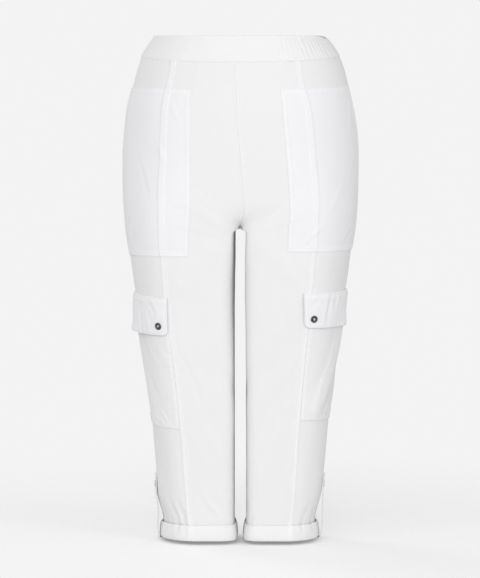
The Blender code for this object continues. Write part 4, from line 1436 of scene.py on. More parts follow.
@dataclass
class Sheet:
    """A piece of cloth: its outer points row by row, and what is known of each."""

    name: str
    points: Array
    normals: Array
    across: Array  # the place across the grain, in cm
    down: Array  # the place along it
    layers: Array
    inner: Array
    stride: int = 1  # the inner face keeps one row or column in so many
    ring: bool = False

    def faces(self, keep_rows: list[int], keep_cols: list[int]) -> list[list[int]]:
        """The faces of the outer side, the inner side and the edges between them.

        Args:
            keep_rows: The rows that the inner side keeps.
            keep_cols: The columns that it keeps.

        Returns:
            The corners of each face.
        """
        n_rows, n_cols = self.points.shape[:2]
        start = n_rows * n_cols
        out = np.arange(start).reshape(n_rows, n_cols)
        back = start + np.arange(len(keep_rows) * len(keep_cols)).reshape(len(keep_rows), len(keep_cols))
        faces: list[list[int]] = []
        for sheet, turn in ((out, False), (back, True)):
            following = np.roll(sheet, -1, axis=1) if self.ring else sheet[:, 1:]
            own = sheet if self.ring else sheet[:, :-1]
            corners = [own[:-1], own[1:], following[1:], following[:-1]]
            faces += np.stack(corners[::-1] if turn else corners, axis=-1).reshape(-1, 4).tolist()
        for k, (a, b) in enumerate(zip(keep_cols, keep_cols[1:] + ([n_cols] if self.ring else []))):
            k_next = (k + 1) % len(keep_cols)
            run = [j % n_cols for j in range(a, b + 1)]
            faces.append([*out[0, run].tolist(), int(back[0, k_next]), int(back[0, k])])
            faces.append([*out[-1, run[::-1]].tolist(), int(back[-1, k]), int(back[-1, k_next])])
        if not self.ring:
            for k, (a, b) in enumerate(zip(keep_rows, keep_rows[1:])):
                run = list(range(a, b + 1))
                faces.append([*out[run[::-1], 0].tolist(), int(back[k, 0]), int(back[k + 1, 0])])
                faces.append([*out[run, -1].tolist(), int(back[k + 1, -1]), int(back[k, -1])])
        return faces

    def build(self, finish: Finish, nodes: Sequence[str], cut: Cut, held: Hold, *rests_on: str) -> None:
        """Makes the closed piece of cloth, and hides the nodes it stands for.

        Args:
            finish: What makes its material.
            nodes: The nodes it replaces.
            cut: Its flat size; not used.
            held: How it is held; not used.
            rests_on: What it lies on or hangs from; not used.
        """
        n_rows, n_cols = self.points.shape[:2]
        keep_rows = sorted({*range(0, n_rows, self.stride), n_rows - 1})
        keep_cols = sorted({*range(0, n_cols, self.stride), *([] if self.ring else [n_cols - 1])})
        kept = np.ix_(keep_rows, keep_cols)
        grain = np.stack([self.across, self.down], axis=-1) * CM
        uv = np.concatenate([grain.reshape(-1, 2), grain[kept].reshape(-1, 2)])
        layers = np.concatenate([self.layers.ravel(), self.layers[kept].ravel()])
        vertices = np.concatenate([self.points.reshape(-1, 3), self.inner[kept].reshape(-1, 3)])
        piece = MAKER.add(self.name, vertices, self.faces(keep_rows, keep_cols), finish, uv, layers)
        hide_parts(*nodes)

    def sample(self, rows: Array, cols: Array) -> tuple[Array, Array]:
        """Points on the outer face and the directions out of it, at rows and columns with parts of one."""
        return cubic(self.points, rows, cols), unit(cubic(self.normals, rows, cols))

    def inset(self, edge: Edge, distance: float, trim: tuple[float, float] = (0.0, 0.0)) -> tuple[Array, Array]:
        """A line on the cloth that keeps one distance from an edge.

        Args:
            edge: The edge.
            distance: How far in from it.
            trim: How much shorter the line is at its start and end.

        Returns:
            The line's points, and the directions out of the cloth along it.
        """
        points = self.points if edge in (Edge.FIRST, Edge.LAST) else self.points.swapaxes(0, 1)
        if edge in (Edge.LAST, Edge.BOTTOM):
            points = points[:, ::-1]
        steps = np.linalg.norm(np.diff(points, axis=1), axis=-1)
        gone = np.concatenate([np.zeros((len(points), 1)), np.cumsum(steps, axis=1)], axis=1)
        count = np.arange(points.shape[1])
        inward = np.array([np.interp(distance, row, count) for row in gone])
        if edge in (Edge.LAST, Edge.BOTTOM):
            inward = points.shape[1] - 1 - inward
        along = np.arange(len(points), dtype=float)
        rows, cols = (along, inward) if edge in (Edge.FIRST, Edge.LAST) else (inward, along)
        line, normals = self.sample(rows, cols)
        gone = lengths(line)
        kept = (gone >= trim[0] - 1e-6) & (gone <= gone[-1] - trim[1] + 1e-6)
        return line[kept], normals[kept]


STITCH = (  # the rings of one stitch: how far along it is, and its height and thickness as shares of the radius
    (-1, -0.6, 0.55), (-0.66, 0.55, 0.95), (0, 0.75, 1), (0.66, 0.55, 0.95), (1, -0.6, 0.55),
)


@dataclass
class Stitching:
    """Rows of machine stitches in thick thread, each stitch sinking into the cloth at its ends."""

    name: str
    length: float = 0.27
    gap: float = 0.06
    radius: float = 0.024
    sides: int = 5
    lines: list[tuple[Array, Array]] = field(default_factory=list)

    def run(self, line: tuple[Array, Array]) -> None:
        """Adds a row along a line of points with the directions out of the cloth."""
        if len(line[0]) > 1:
            self.lines.append(line)

    def build(self, slot: str = "cloth") -> None:
        """Makes all the rows as one piece.

        Args:
            slot: The kind of piece that they are sewn to; not used.
        """
        centres, ways, outs, reaches = [], [], [], []
        for line, normals in self.lines:
            gone = lengths(line)
            count = max(1, round(gone[-1] / (self.length + self.gap)))
            pitch = gone[-1] / count

            def at(s: Array, of: Array) -> Array:
                """Reads the line at distances along it."""
                return np.stack([np.interp(s, gone, of[:, k]) for k in range(3)], axis=-1)

            middle = (np.arange(count) + 0.5) * pitch
            reach = pitch * self.length / (self.length + self.gap) / 2
            start, end = at(middle - reach, line), at(middle + reach, line)
            ways.append(unit(end - start))
            centres.append((end + start + 2 * at(middle, line)) / 4)
            outs.append(unit(at(middle, normals)))
            reaches.append(np.full(count, reach))
        centre, way, out, reach = (np.concatenate(parts) for parts in (centres, ways, outs, reaches))
        across = unit(np.cross(out, way))
        out = np.cross(way, across)
        spokes = np.arange(self.sides)
        angles = 2 * math.pi * (spokes + 0.5) / self.sides
        rings = []
        for along, rise, thick in STITCH:
            middle = centre + way * (reach * along)[:, None] + out * (self.radius * rise)
            ring = [middle + (across * math.cos(a) + out * math.sin(a)) * (self.radius * thick) for a in angles]
            rings.append(np.stack(ring, axis=1))
        each = len(STITCH) * self.sides
        first = np.arange(len(centre))[:, None] * each
        a = (np.arange(len(STITCH) - 1)[:, None] * self.sides + spokes).ravel()
        b = (np.arange(len(STITCH) - 1)[:, None] * self.sides + (spokes + 1) % self.sides).ravel()
        quads = first[..., None] + np.stack([a, b, b + self.sides, a + self.sides], axis=-1)
        ends = np.stack([first + spokes[::-1], first + each - self.sides + spokes], axis=1).reshape(-1, self.sides)
        turn = np.tile(spokes / self.sides, (len(centre), len(STITCH), 1))
        along = np.array([row[0] for row in STITCH])[None, :, None] * reach[:, None, None] + 0 * turn
        yarn = (np.arange(len(centre)) * 0.37)[:, None, None] + along
        uv = np.stack([turn * 0.1, yarn], axis=-1).reshape(-1, 2) * CM
        vertices = np.stack(rings, axis=1).reshape(-1, 3)
        faces = quads.reshape(-1, 4).tolist() + ends.tolist()
        MAKER.add(self.name, vertices, faces, THREAD, uv, sharp=80)


# --- The sub-assemblies ---


@dataclass
class LegPanels:
    """The three panels of a side: front, side front and back, with their felled and plain seams."""

    leg: Leg
    band_half: float = 0.4  # half the width of a felled seam
    band_rise: float = 0.085
    seam_dip: float = 0.035  # how far a plain seam lies below the cloth
    lap_cloth: float = 0.06  # the front's cloth where it lies over the side front
    tuck: float = 0.03  # how far its edge there is pulled in
    under_band: float = 0.13  # how far the panels' tops lie inside the waistband
    seam_rows: tuple[float, float] = (0.12, 0.76)  # of stitches, from the princess seam's edge
    centre_row: float = 0.3

    def seam_band(self, away: Array, full: float = 1.0) -> Array:
        """The rise of the cloth over a felled seam, by the distance from its middle."""
        edge = (self.band_half - 0.02 - np.abs(away)) / 0.1 + 1
        return self.band_rise * full * ease(edge)

    def centre_band(self, line: str) -> Array:
        """The rise of the cloth over the centre seam, which ends at the crotch.

        Args:
            line: The seam's line, in front or behind.

        Returns:
            The rise at each of the leg's points.
        """
        above = ease((CROTCH - 0.2 - self.leg.drops[:, None]) / 1.2)
        step = 1.0 if self.leg.side.sign > 0 else 0.6
        return self.seam_band(self.leg.away(line), step) * above

    def plain_seam(self, line: str) -> Array:
        """The dip of the cloth into a plain seam."""
        return -self.seam_dip * np.exp(-np.abs(self.leg.away(line)) / 0.12)

    def outs(self) -> dict[str, Array]:
        """Lays the panels over each other at their seams.

        Returns:
            How far each panel's outer face lies out of the leg's surface, by the panel's name.
        """
        leg, waves = self.leg, Waves(self.leg.side.seed + 5)
        drops = np.broadcast_to(leg.drops[:, None], leg.us.shape)
        princess = leg.away("princess")
        puckers = Puckers().lift(drops, np.maximum(np.abs(princess) - 0.4, 0), waves)
        below = ease((drops - CROTCH) / 1.5)
        inseam = self.plain_seam("centre") * below
        inseam_back = self.plain_seam("centre_back") * below
        front = self.seam_band(princess) + puckers + self.centre_band("centre") + inseam
        side = puckers * (princess > 0) + self.plain_seam("side")
        back = self.plain_seam("side") + self.centre_band("centre_back") + inseam_back
        centre_puckers = Puckers(0.022, 1.4, 0.8)
        for out, line in ((front, "centre"), (back, "centre_back")):
            lift = centre_puckers.lift(drops, np.maximum(np.abs(leg.away(line)) - 0.4, 0), waves)
            out += lift * ease((CROTCH - 1 - drops) / 2)
        for out in (front, side, back):
            out -= self.under_band * ease((BAND_HEIGHT + 0.1 - drops) / 0.2)
        return {"front": front, "side_front": side, "back": back}

    def build(self) -> None:
        """Makes the panels, and sews their princess and centre seams with two rows each."""
        leg, name = self.leg, self.leg.side.name
        rows = slice(0, leg.row(LEG_END) + 1)
        sheets, outs = {}, self.outs()
        for key, first, last, cut in (
            ("front", 0, column_of("princess", 0.43), Cut((0.24, 0.88), 0.132)),
            ("side_front", column_of("princess", -0.2), column_of("side"), Cut((0.155, 0.84), 0.105)),
            ("back", column_of("side"), leg.us.shape[1] - 1, Cut((0.365, 0.88), 0.227)),
        ):
            cols = slice(first, last + 1)
            out = outs[key][rows, cols].copy()
            thick = np.full(out.shape, PANEL_CLOTH)
            if key == "front":
                thick[:, -7:] = self.lap_cloth
                out[:, -1] -= self.tuck
            layers = 1 + 2 * (self.seam_band(leg.away("princess"))[rows, cols] / self.band_rise) * (key == "front")
            middle = "centre_back" if key == "back" else "centre"
            layers = layers + 2 * self.centre_band(middle)[rows, cols] / self.band_rise * (key != "side_front")
            points, ahead, inner = (leg.moved(rows, cols, o) for o in (out, out + 0.5, out - thick))
            down = np.broadcast_to(leg.drops[rows, None], out.shape)
            facing, around = unit(ahead - points), leg.around[rows, cols]
            sheet = Sheet(f"{key}_panel_{name}", points, facing, around, down, layers, inner, stride=2)
            sheets[key] = sheet
            nodes = (f"{key}_{name}", f"{key}_leg_{name}")
            sheet.build(SHELL, nodes, cut, Hold.HUNG, "waistband_front", "waistband_back")
        stitches = Stitching(f"seam_stitching_{name}")
        for away in self.seam_rows:
            stitches.run(sheets["front"].inset(Edge.LAST, away, (0.05, LEG_END - CUFF_TOP)))
        crotch = leg.row(CROTCH - 0.6)
        for key, edge in (("front", Edge.FIRST), ("back", Edge.LAST)):
            line, normals = sheets[key].inset(edge, self.centre_row)
            stitches.run((line[:crotch], normals[:crotch]))
        stitches.build()


@dataclass
class Patch:
    """A patch on a leg, on a grid twice as fine as the leg's, with each point's distance from its edges."""

    leg: Leg
    top: int
    bottom: int
    first: int
    last: int
    hem: float
    seed: int

    def __post_init__(self) -> None:
        """Reads the leg's grid under the patch."""
        self.rows = np.linspace(self.top, self.bottom, (self.bottom - self.top) * 2 + 1)[:, None]
        self.cols = np.linspace(self.first, self.last, (self.last - self.first) * 2 + 1)[None, :]
        self.waves = Waves(self.seed)
        self.around = around = self.read(self.leg.around[..., None])[..., 0]
        drops = np.interp(self.rows, np.arange(len(self.leg.drops)), self.leg.drops)
        self.drops = drops = np.broadcast_to(drops, around.shape)
        self.length = drops[-1, 0] - drops[0, 0]
        self.from_edge = {
            Edge.FIRST: around[:, :1] - around,
            Edge.LAST: around - around[:, -1:],
            Edge.TOP: drops - drops[:1],
            Edge.BOTTOM: drops[-1:] - drops,
        }

    def read(self, grid: Array) -> Array:
        """Reads a grid of the leg's at the patch's points."""
        return cubic(grid, self.rows, self.cols)

    def near(self, *edges: Edge) -> Array:
        """The distance from the nearest of some edges."""
        return np.minimum.reduce([self.from_edge[edge] for edge in edges])

    def puckers(self, near: Array, along: Array, kind: Puckers) -> Array:
        """The cloth's small waves along its hems.

        Args:
            near: The distance from the nearest sewn edge.
            along: The distance along it.
            kind: Their size.

        Returns:
            How far they lift the cloth.
        """
        crests = np.cos(2 * math.pi * along / kind.length + 2 * self.waves(along / 4, 0.5))
        fade = np.exp(-np.maximum(near - self.hem, 0) / kind.reach)
        return kind.height * crests * fade * (0.6 + 0.4 * self.waves(along / 2.5, 4.5))

    def sheet(self, name: str, out: Array, thick: Array | float, layers: Array) -> Sheet:
        """The patch's cloth.

        Args:
            name: The piece's name.
            out: How far it lies out of the leg's cloth.
            thick: Its thickness.
            layers: How many layers of cloth there are.

        Returns:
            Its sheet.
        """
        base, normals = self.read(self.leg.points), unit(self.read(self.leg.normals))
        points, ahead, inner = (as_worn(base + normals * o[..., None]) for o in (out, out + 0.5, out - thick))
        return Sheet(name, points, unit(ahead - points), self.around, self.drops, layers, inner, stride=2)


def sew_edges(name: str, sheet: Sheet, aways: Sequence[float], edges: Sequence[Edge]) -> None:
    """Sews rows of stitches along a sheet's edges.

    Args:
        name: The stitching's name.
        sheet: The cloth.
        aways: How far each row is from the edge.
        edges: The edges.
    """
    stitches = Stitching(name)
    for away in aways:
        for edge in edges:
            stitches.run(sheet.inset(edge, away, (away, away)))
    stitches.build()


@dataclass
class FrontPocket:
    """The long patch on the front and side front, sewn down on three sides, with its mouth at the side seam."""

    leg: Leg
    panels: LegPanels
    hem: float = 0.8
    slack: float = 0.05  # how loose the cloth is between its seams
    gape: float = 0.16  # how far its mouth stands open
    rows: tuple[float, float] = (0.14, 0.72)  # of stitches, from its edges
    cut: Cut = Cut((0.195, 0.29), 0.053)

    def build(self) -> None:
        """Makes the patch and its stitching."""
        leg, side = self.leg, self.leg.side
        top, bottom = leg.row(side.pocket_top), leg.row(side.pocket_bottom)
        patch = Patch(leg, top, bottom, column_of("pocket"), column_of("mouth"), self.hem, side.seed + 8)
        around, drops, waves = patch.around, patch.drops, patch.waves
        from_first, from_last, from_top, from_bottom = (
            patch.from_edge[edge] for edge in (Edge.FIRST, Edge.LAST, Edge.TOP, Edge.BOTTOM)
        )
        band = self.panels.seam_band(patch.read(leg.away("princess")[..., None])[..., 0] * 0.82)
        edge, near = patch.near(*Edge), patch.near(Edge.FIRST, Edge.TOP, Edge.BOTTOM)
        hems = ease((self.hem - edge) / 0.1 + 1)
        along = np.where(from_first < np.minimum(from_top, from_bottom), drops, around)
        puckers = patch.puckers(near, along, Puckers(0.02, 1.15, 0.7))
        loose = self.slack * arch(from_top / 28) * arch(from_first / 11)
        slack = loose * (0.7 + 0.3 * waves(around / 4, drops / 6))
        slack = slack + lifted(POCKET_CREASES, side.name, drops, around)
        mouth = self.gape * np.exp(-from_last / 1.6) * arch(from_top / patch.length) ** 0.6
        out = SEAM_GAP + 0.012 + CLOTH + band + (puckers + slack) * ease(near / 0.9) + mouth + 0.03 * hems
        out = out - 0.035 * (1 - ease(edge / 0.1))
        layers = 1.6 + 1.4 * np.maximum(hems, band / self.panels.band_rise)
        sheet = patch.sheet(f"pocket_patch_{side.name}", out, CLOTH - 0.005 + 0.03 * hems, layers)
        sheet.build(POCKETING, (f"front_pocket_{side.name}",), self.cut, Hold.LAID, f"front_{side.name}")
        edges = (Edge.FIRST, Edge.TOP, Edge.BOTTOM, Edge.LAST)
        sew_edges(f"pocket_stitching_{side.name}", sheet, self.rows, edges)


@dataclass
class CargoPocket:
    """The thigh pocket round the side: sewn flat along its sides and lower edge, and full between them."""

    leg: Leg
    hem: float = 0.72
    puff: float = 0.22  # how far the middle stands out
    rows: tuple[float, float] = (0.14, 0.7)  # of stitches, from its edges
    cut: Cut = Cut((0.245, 0.215), 0.049)

    def build(self) -> None:
        """Makes the pocket and its stitching."""
        leg, side = self.leg, self.leg.side
        top, bottom = leg.row(side.flap_top + 1.1), leg.row(side.cargo_bottom)
        first, last = column_of("princess", 0.38), column_of("cargo_back", -0.4)
        patch = Patch(leg, top, bottom, first, last, self.hem, side.seed + 9)
        around, drops, from_first = patch.around, patch.drops, patch.from_edge[Edge.FIRST]
        sewn_edges = (Edge.FIRST, Edge.LAST, Edge.BOTTOM)
        edge = patch.near(*sewn_edges)
        hems = ease((self.hem - edge) / 0.1 + 1)
        width = around[:, :1] - around[:, -1:]
        full = self.puff * arch(from_first / width) ** 0.7 * arch(patch.from_edge[Edge.TOP] / patch.length) ** 0.7
        at_bottom = patch.from_edge[Edge.BOTTOM] < patch.near(Edge.FIRST, Edge.LAST)
        puckers = patch.puckers(edge, np.where(at_bottom, around, drops), Puckers(0.03, 1.2, 0.8))
        creases = np.maximum(lifted(CARGO_CREASES, side.name, drops, around), -0.6 * full - 0.03)
        uneven = 0.04 * patch.waves(around / 3, drops / 4)
        out = SEAM_GAP + 0.03 + CLOTH + full + (creases + puckers + uneven) * ease(edge / 0.5)
        out = np.maximum(out + 0.025 * hems - 0.035 * (1 - ease(edge / 0.1)), SEAM_GAP + CLOTH)
        out = 0.03 + (out - 0.03) * ease(from_first / 0.11)
        sheet = patch.sheet(f"thigh_pocket_{side.name}", out, CLOTH - 0.005, 1.35 + 1.2 * hems)
        rests_on = (f"side_front_{side.name}", f"back_{side.name}")
        sheet.build(SHELL, (f"cargo_pocket_{side.name}",), self.cut, Hold.LAID, *rests_on)
        sew_edges(f"thigh_pocket_stitching_{side.name}", sheet, self.rows, sewn_edges)


@dataclass
class PocketFlap:
    """The thigh pocket's flap, which hangs over the pocket from its seam and is held by two press studs."""

    leg: Leg
    cloth: float = 0.16
    corner: float = 0.9  # the radius of its lower corners
    hem: float = 0.75
    snap_inset: float = 1.55  # from its front and back edges
    snap_rise: float = 1.6  # from its lower edge
    puff: float = 0.22
    rows: tuple[float, float] = (0.14, 0.7)  # of stitches, from its edges
    n_rows: int = 46
    n_cols: int = 120
    cut: Cut = Cut((0.26, 0.068), 0.017)

    def edges(self, drop: float) -> tuple[float, float]:
        """The flap's edges at a drop, drawn in around its lower corners.

        Args:
            drop: The level.

        Returns:
            The u of its front edge and of its back edge.
        """
        side = self.leg.side
        rise = max(side.flap_bottom - drop, 0.0)
        inward = 0.0
        if rise < self.corner:
            inward = self.corner - math.sqrt(self.corner**2 - (self.corner - rise) ** 2)
        front = FORM.u_at_x(drop, float(PRINCESS_X(side.flap_top)) + side.flap_inset)
        back = columns(drop)[column_of("cargo_back")]
        return front + inward / FORM.arc(drop), back - (0.1 + inward) / FORM.arc(drop, True)

    def stand_off(self, drop: Array, across: Array) -> Array:
        """How far the flap's inner face is from the leg.

        Args:
            drop: The places' drops.
            across: Their shares of the way across the flap.

        Returns:
            The distances there.
        """
        side = self.leg.side
        down = (drop - side.flap_top) / (side.flap_bottom - side.flap_top)
        over_pocket = ease(down * 5.8) * 0.18 + ease(down) * self.puff * np.sin(math.pi * across) ** 0.7
        return 0.12 + over_pocket * 1.12 + side.flap_bow * down * np.sin(math.pi * across) ** 2

    def wrinkles(self, drop: Array, u: Array, across: Array) -> Array:
        """The flap's own unevenness: upright wrinkles, which its top seam holds flat.

        Args:
            drop: The places' drops.
            u: Their places around.
            across: Their shares of the way across the flap.

        Returns:
            How far it lifts the cloth.
        """
        side = self.leg.side
        down = (drop - side.flap_top) / (side.flap_bottom - side.flap_top)
        waves = Waves(side.seed + 12)
        middle = np.exp(-((across - 0.5) / 0.2) ** 2)
        phase = 2 * math.pi * across * 13 + 1.6 * waves(across * 6, down * 1.5)
        upright = 0.045 * middle * np.cos(phase) * ease(down * 2.5) * (0.6 + 0.4 * waves(across * 5, down * 2 + 9))
        drag = 0.05 * waves(across * 7 + down * 1.3, down * 2.2 + 3) * ease(down * 3) * ease((1 - down) * 6)
        around = (1 - u) * np.where(u < 1, FORM.arc(side.flap_top), FORM.arc(side.flap_top, True))
        return upright + drag + lifted(FLAP_CREASES, side.name, drop, around) * ease(down * 9)

    def build(self) -> None:
        """Makes the flap, its stitching and its press studs."""
        leg, side = self.leg, self.leg.side
        height = side.flap_bottom - side.flap_top
        straight = np.linspace(0.05, 1 - self.corner / height, self.n_rows - 16)[:-1]
        straight = np.concatenate([[0, 0.002, 0.006, 0.012, 0.02, 0.032], straight])
        round_part = 1 - self.corner / height * np.cos(np.linspace(0, math.pi / 2, 13))
        drops = side.flap_top + height * np.concatenate([straight, round_part])
        shares = np.concatenate([[0, 0.004, 0.009], np.linspace(0.016, 0.984, self.n_cols), [0.991, 0.996, 1]])
        ends = np.array([self.edges(float(drop)) for drop in drops])
        u = ends[:, :1] + (ends[:, 1:] - ends[:, :1]) * shares[None, :]
        drop = np.broadcast_to(drops[:, None], u.shape)
        across = np.broadcast_to(shares[None, :], u.shape)
        from_bottom = side.flap_bottom - drop
        width = (ends[:, 1] - ends[:, 0])[:, None] * FORM.arc(side.flap_bottom)
        edge = np.minimum.reduce([across * width, (1 - across) * width, from_bottom])
        hems = ease((self.hem - edge) / 0.12 + 1)
        roll = 0.05 * (1 - ease(edge / 0.09))
        below = drop - side.flap_top
        wrinkles = self.wrinkles(drop, u, across)
        outer = self.stand_off(drop, across) + self.cloth + wrinkles + 0.02 * hems
        outer = outer + 0.06 * ease((1.15 - below) / 0.1 + 1)
        outer = outer - 0.05 * sum(np.exp(-(((below - row) / 0.1) ** 2)) for row in (0.29, 1.045))
        turned = np.clip((drop - side.flap_top) / 0.2, 0, 1)
        turned = np.sqrt(1 - (1 - turned) ** 2)
        outer = 0.03 + (outer - roll - 0.03) * turned
        points, normals = leg.place(drop, u, outer)
        inside = self.stand_off(drop, across) + wrinkles + roll * 0.6
        inner, _ = leg.place(drop, u, 0.01 + (inside - 0.01) * turned)
        arcs = u * FORM.arc(side.flap_top)
        layers = 2.2 + 0.8 * hems
        sheet = Sheet(f"flap_{side.name}", points, normals, arcs, drop, layers, inner, stride=2)
        rests_on = (f"side_front_{side.name}", f"back_{side.name}")
        sheet.build(POCKETING, (f"cargo_flap_{side.name}",), self.cut, Hold.HUNG, *rests_on)
        stitches = Stitching(f"flap_stitching_{side.name}")
        for away in self.rows:
            for edge_name in (Edge.FIRST, Edge.LAST, Edge.BOTTOM):
                trim = (0.1, self.corner * 0.9) if edge_name != Edge.BOTTOM else (0.45 + away, 0.45 + away)
                stitches.run(sheet.inset(edge_name, away, trim))
            stitches.run(sheet.inset(Edge.TOP, away * 1.35 + 0.1, (0.2, 0.2)))
        stitches.build()
        low = side.flap_bottom - self.snap_rise
        first, last = self.edges(low)
        for end, at in (
            ("front", first + self.snap_inset / FORM.arc(low)),
            ("back", last - self.snap_inset / FORM.arc(low, True)),
        ):
            row = float(np.interp(low, drops, np.arange(len(drops))))
            col = float(np.interp((at - first) / (last - first), shares, np.arange(len(shares))))
            place, normal = sheet.sample(np.array(row), np.array(col))
            PressStud(f"stud_{side.name}_{end}", f"snap_{side.name}_{end}", place, normal).build()


@dataclass
class Turned:
    """A small round piece turned from a profile of (radius, height) in cm."""

    profile: Sequence[tuple[float, float]]
    place: Array
    facing: Array
    steps: int = 40

    def mesh(self) -> tuple[Array, list[list[int]]]:
        """Turns the profile round its axis.

        Returns:
            The points, in cm, and the corners of the faces.
        """
        turn = np.array(Vector(self.facing).to_track_quat("Z", "Y").to_matrix())
        rings = [p for p in self.profile if p[0] > 1e-6]
        angles = 2 * math.pi * np.arange(self.steps) / self.steps
        points = [[r * math.cos(a), r * math.sin(a), h] for r, h in rings for a in angles]
        faces = []
        for i in range(len(rings) - 1):
            for k in range(self.steps):
                a, b = i * self.steps + k, i * self.steps + (k + 1) % self.steps
                faces.append([a, b, b + self.steps, a + self.steps])
        for end, ring in ((self.profile[0], 0), (self.profile[-1], len(rings) - 1)):
            points.append([0.0, 0.0, end[1]])
            tip = len(points) - 1
            for k in range(self.steps):
                a, b = ring * self.steps + k, ring * self.steps + (k + 1) % self.steps
                faces.append([a, b, tip] if ring else [b, a, tip])
        return np.array(points) @ turn.T + np.asarray(self.place), faces


STUD_RING = (
    (0, -0.02), (0.6, -0.02), (0.615, 0), (0.625, 0.03), (0.62, 0.07), (0.6, 0.11), (0.565, 0.145), (0.52, 0.165),
    (0.47, 0.17), (0.42, 0.16), (0.375, 0.135), (0.34, 0.1), (0.32, 0.06), (0.3, 0.045), (0.2, 0.042), (0, 0.042),
)
STUD_POST = (
    (0, 0.03), (0.2, 0.03), (0.205, 0.06), (0.2, 0.085), (0.18, 0.105), (0.15, 0.115), (0.11, 0.112), (0.07, 0.1),
    (0, 0.095),
)


@dataclass
class PressStud:
    """A ring-topped press stud, 12.5 mm across, with a bright post in its middle."""

    name: str
    node: str
    place: Array
    facing: Array

    def build(self) -> None:
        """Makes the ring and the post."""
        points, faces = Turned(STUD_RING, self.place, self.facing, 48).mesh()
        piece = MAKER.add(self.name, points, faces, GUNMETAL, sharp=50)
        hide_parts(self.node)
        points, faces = Turned(STUD_POST, self.place, self.facing, 32).mesh()
        MAKER.add(f"{self.name}_post", points, faces, NICKEL, sharp=50)


CUFF_PROFILE = (  # the outer face from the turned-up edge round the fold to the inside: out of the leg, and the drop
    (0.22, 83.7), (0.32, 83.71), (0.39, 83.75), (0.44, 83.82), (0.5, 83.95), (0.57, 84.15), (0.64, 84.4),
    (0.71, 84.7), (0.76, 85), (0.79, 85.2), (0.81, 85.35), (0.83, 85.55), (0.845, 85.75), (0.845, 85.95),
    (0.83, 86.1), (0.8, 86.23), (0.745, 86.32), (0.67, 86.38), (0.56, 86.42), (0.42, 86.44), (0.25, 86.45),
    (0.05, 86.45), (-0.13, 86.45),
)


@dataclass
class Cuff:
    """The turned-up hem: a double band that stands off the leg, rounded at its fold."""

    leg: Leg
    middle: float = 85.0  # the drop at which it is measured round
    stitch_drop: float = 85.85
    cut: Cut = Cut((0.455, 0.036))

    def build(self) -> None:
        """Makes the cuff and its stitching."""
        leg, side = self.leg, self.leg.side
        outs, drops = np.array(CUFF_PROFILE).T
        front, back = FORM.arc(self.middle), FORM.arc(self.middle, True)
        us = columns(CUFF_TOP + 1)
        us[-1] = 2.0
        us = np.interp(np.arange(0, len(us) - 1, 0.5), np.arange(len(us)), us)
        around = np.where(us > 1, (2 - us) * back - back, front - us * front)
        level = leg.level(CUFF_TOP, us)
        outer, inner = float(OUTER(CUFF_TOP)), FORM.half_gap
        share = 0.62 + 0.38 * (np.abs(level[:, 0]) - inner) / (outer - inner)
        waves = Waves(side.seed + 15)
        drop, u = drops[:, None] + us[None, :] * 0, us[None, :] + drops[:, None] * 0
        out = outs[:, None] * np.where(outs[:, None] > 0, share[None, :], 1.0)
        down = np.clip((drop - CUFF_TOP) / (HEM - CUFF_TOP), 0, 1)
        visible = ease((out - 0.2) / 0.3)
        loop = (us / 2)[None, :] * (front + back)
        rim = 0.05 * waves(loop / 2.6, down * 1.2) + 0.02 * waves(loop / 0.9, down * 1.5 + 5)
        seams = np.zeros(out.shape)
        princess = FORM.u_at_x(self.middle, float(PRINCESS_X(self.middle)))
        for line, rise, half in ((princess, 0.05, 0.42), (1.0, 0.025, 0.3), (0.0, 0.025, 0.3), (2.0, 0.025, 0.3)):
            away = np.abs(us - line)[None, :] * front
            seams = np.maximum(seams, rise * ease((half - away) / 0.14 + 1))
        hem_row = 0.02 * ease(1 - np.abs(down - 0.8) / 0.05)
        shape = out + (rim + seams - hem_row) * visible
        drop = drop + 0.06 * waves(loop / 4.5, 0.5) * (1 - down) * visible
        points, normals = leg.place(drop, u, shape)
        along = np.roll(points, -1, axis=1) - np.roll(points, 1, axis=1)
        facing = unit(np.cross(np.gradient(points, axis=0), along))
        if np.sum(facing[5] * normals[5]) < 0:
            facing = -facing
        inside, _ = leg.place(np.minimum(drop, HEM - 0.24 * down), u, shape - 0.2 * ease((shape + 0.13) / 0.2))
        inner = np.where((shape > 0.1)[..., None], points - facing * 0.2, inside)
        around = np.broadcast_to(around[None, :], shape.shape)
        layers = 2.0 + 1.0 * seams / 0.05
        sheet = Sheet(f"turned_cuff_{side.name}", points, facing, around, drop, layers, inner, ring=True)
        rests_on = (f"front_{side.name}", f"back_{side.name}")
        sheet.build(SHELL, (f"cuff_{side.name}",), self.cut, Hold.FOLDED, *rests_on)
        stitches = Stitching(f"cuff_stitching_{side.name}")
        row = float(np.interp(self.stitch_drop, drops, np.arange(len(drops))))
        cols = np.append(np.arange(points.shape[1], dtype=float), points.shape[1] - 1)
        line, facing_line = sheet.sample(np.full(cols.shape, row), cols)
        stitches.run((np.concatenate([line, line[:1]]), np.concatenate([facing_line, facing_line[:1]])))
        stitches.build()


class TabPlace(NamedTuple):
    """A point of the tab's middle line: how far it lies outside the leg's surface, and its drop."""

    out: float
    drop: float


TAB_START = tuple(TabPlace(*row) for row in (
    (-0.5, 77), (-0.5, 82), (-0.5, 86.3), (-0.4, 86.54), (0, 86.59), (0.6, 86.59), (0.95, 86.51), (1.06, 86.15),
))
TAB_MIDDLES = {  # past the cuff and back to the leg
    "R": tuple(TabPlace(*row) for row in (
        (1.14, 85.2), (1.08, 84.2), (0.9, 83.2), (0.68, 82.1), (0.42, 80.8), (0.24, 79.4), (0.18, 78.3),
    )),
    "L": tuple(TabPlace(*row) for row in (
        (1.16, 85.2), (1.26, 84.2), (1.25, 83.2), (1.08, 82.1), (0.76, 80.8), (0.4, 79.4), (0.2, 78.3),
    )),
}
TAB_END = (TabPlace(0.17, 77.2), TabPlace(0.17, 76.2), TabPlace(0.17, 75.3))


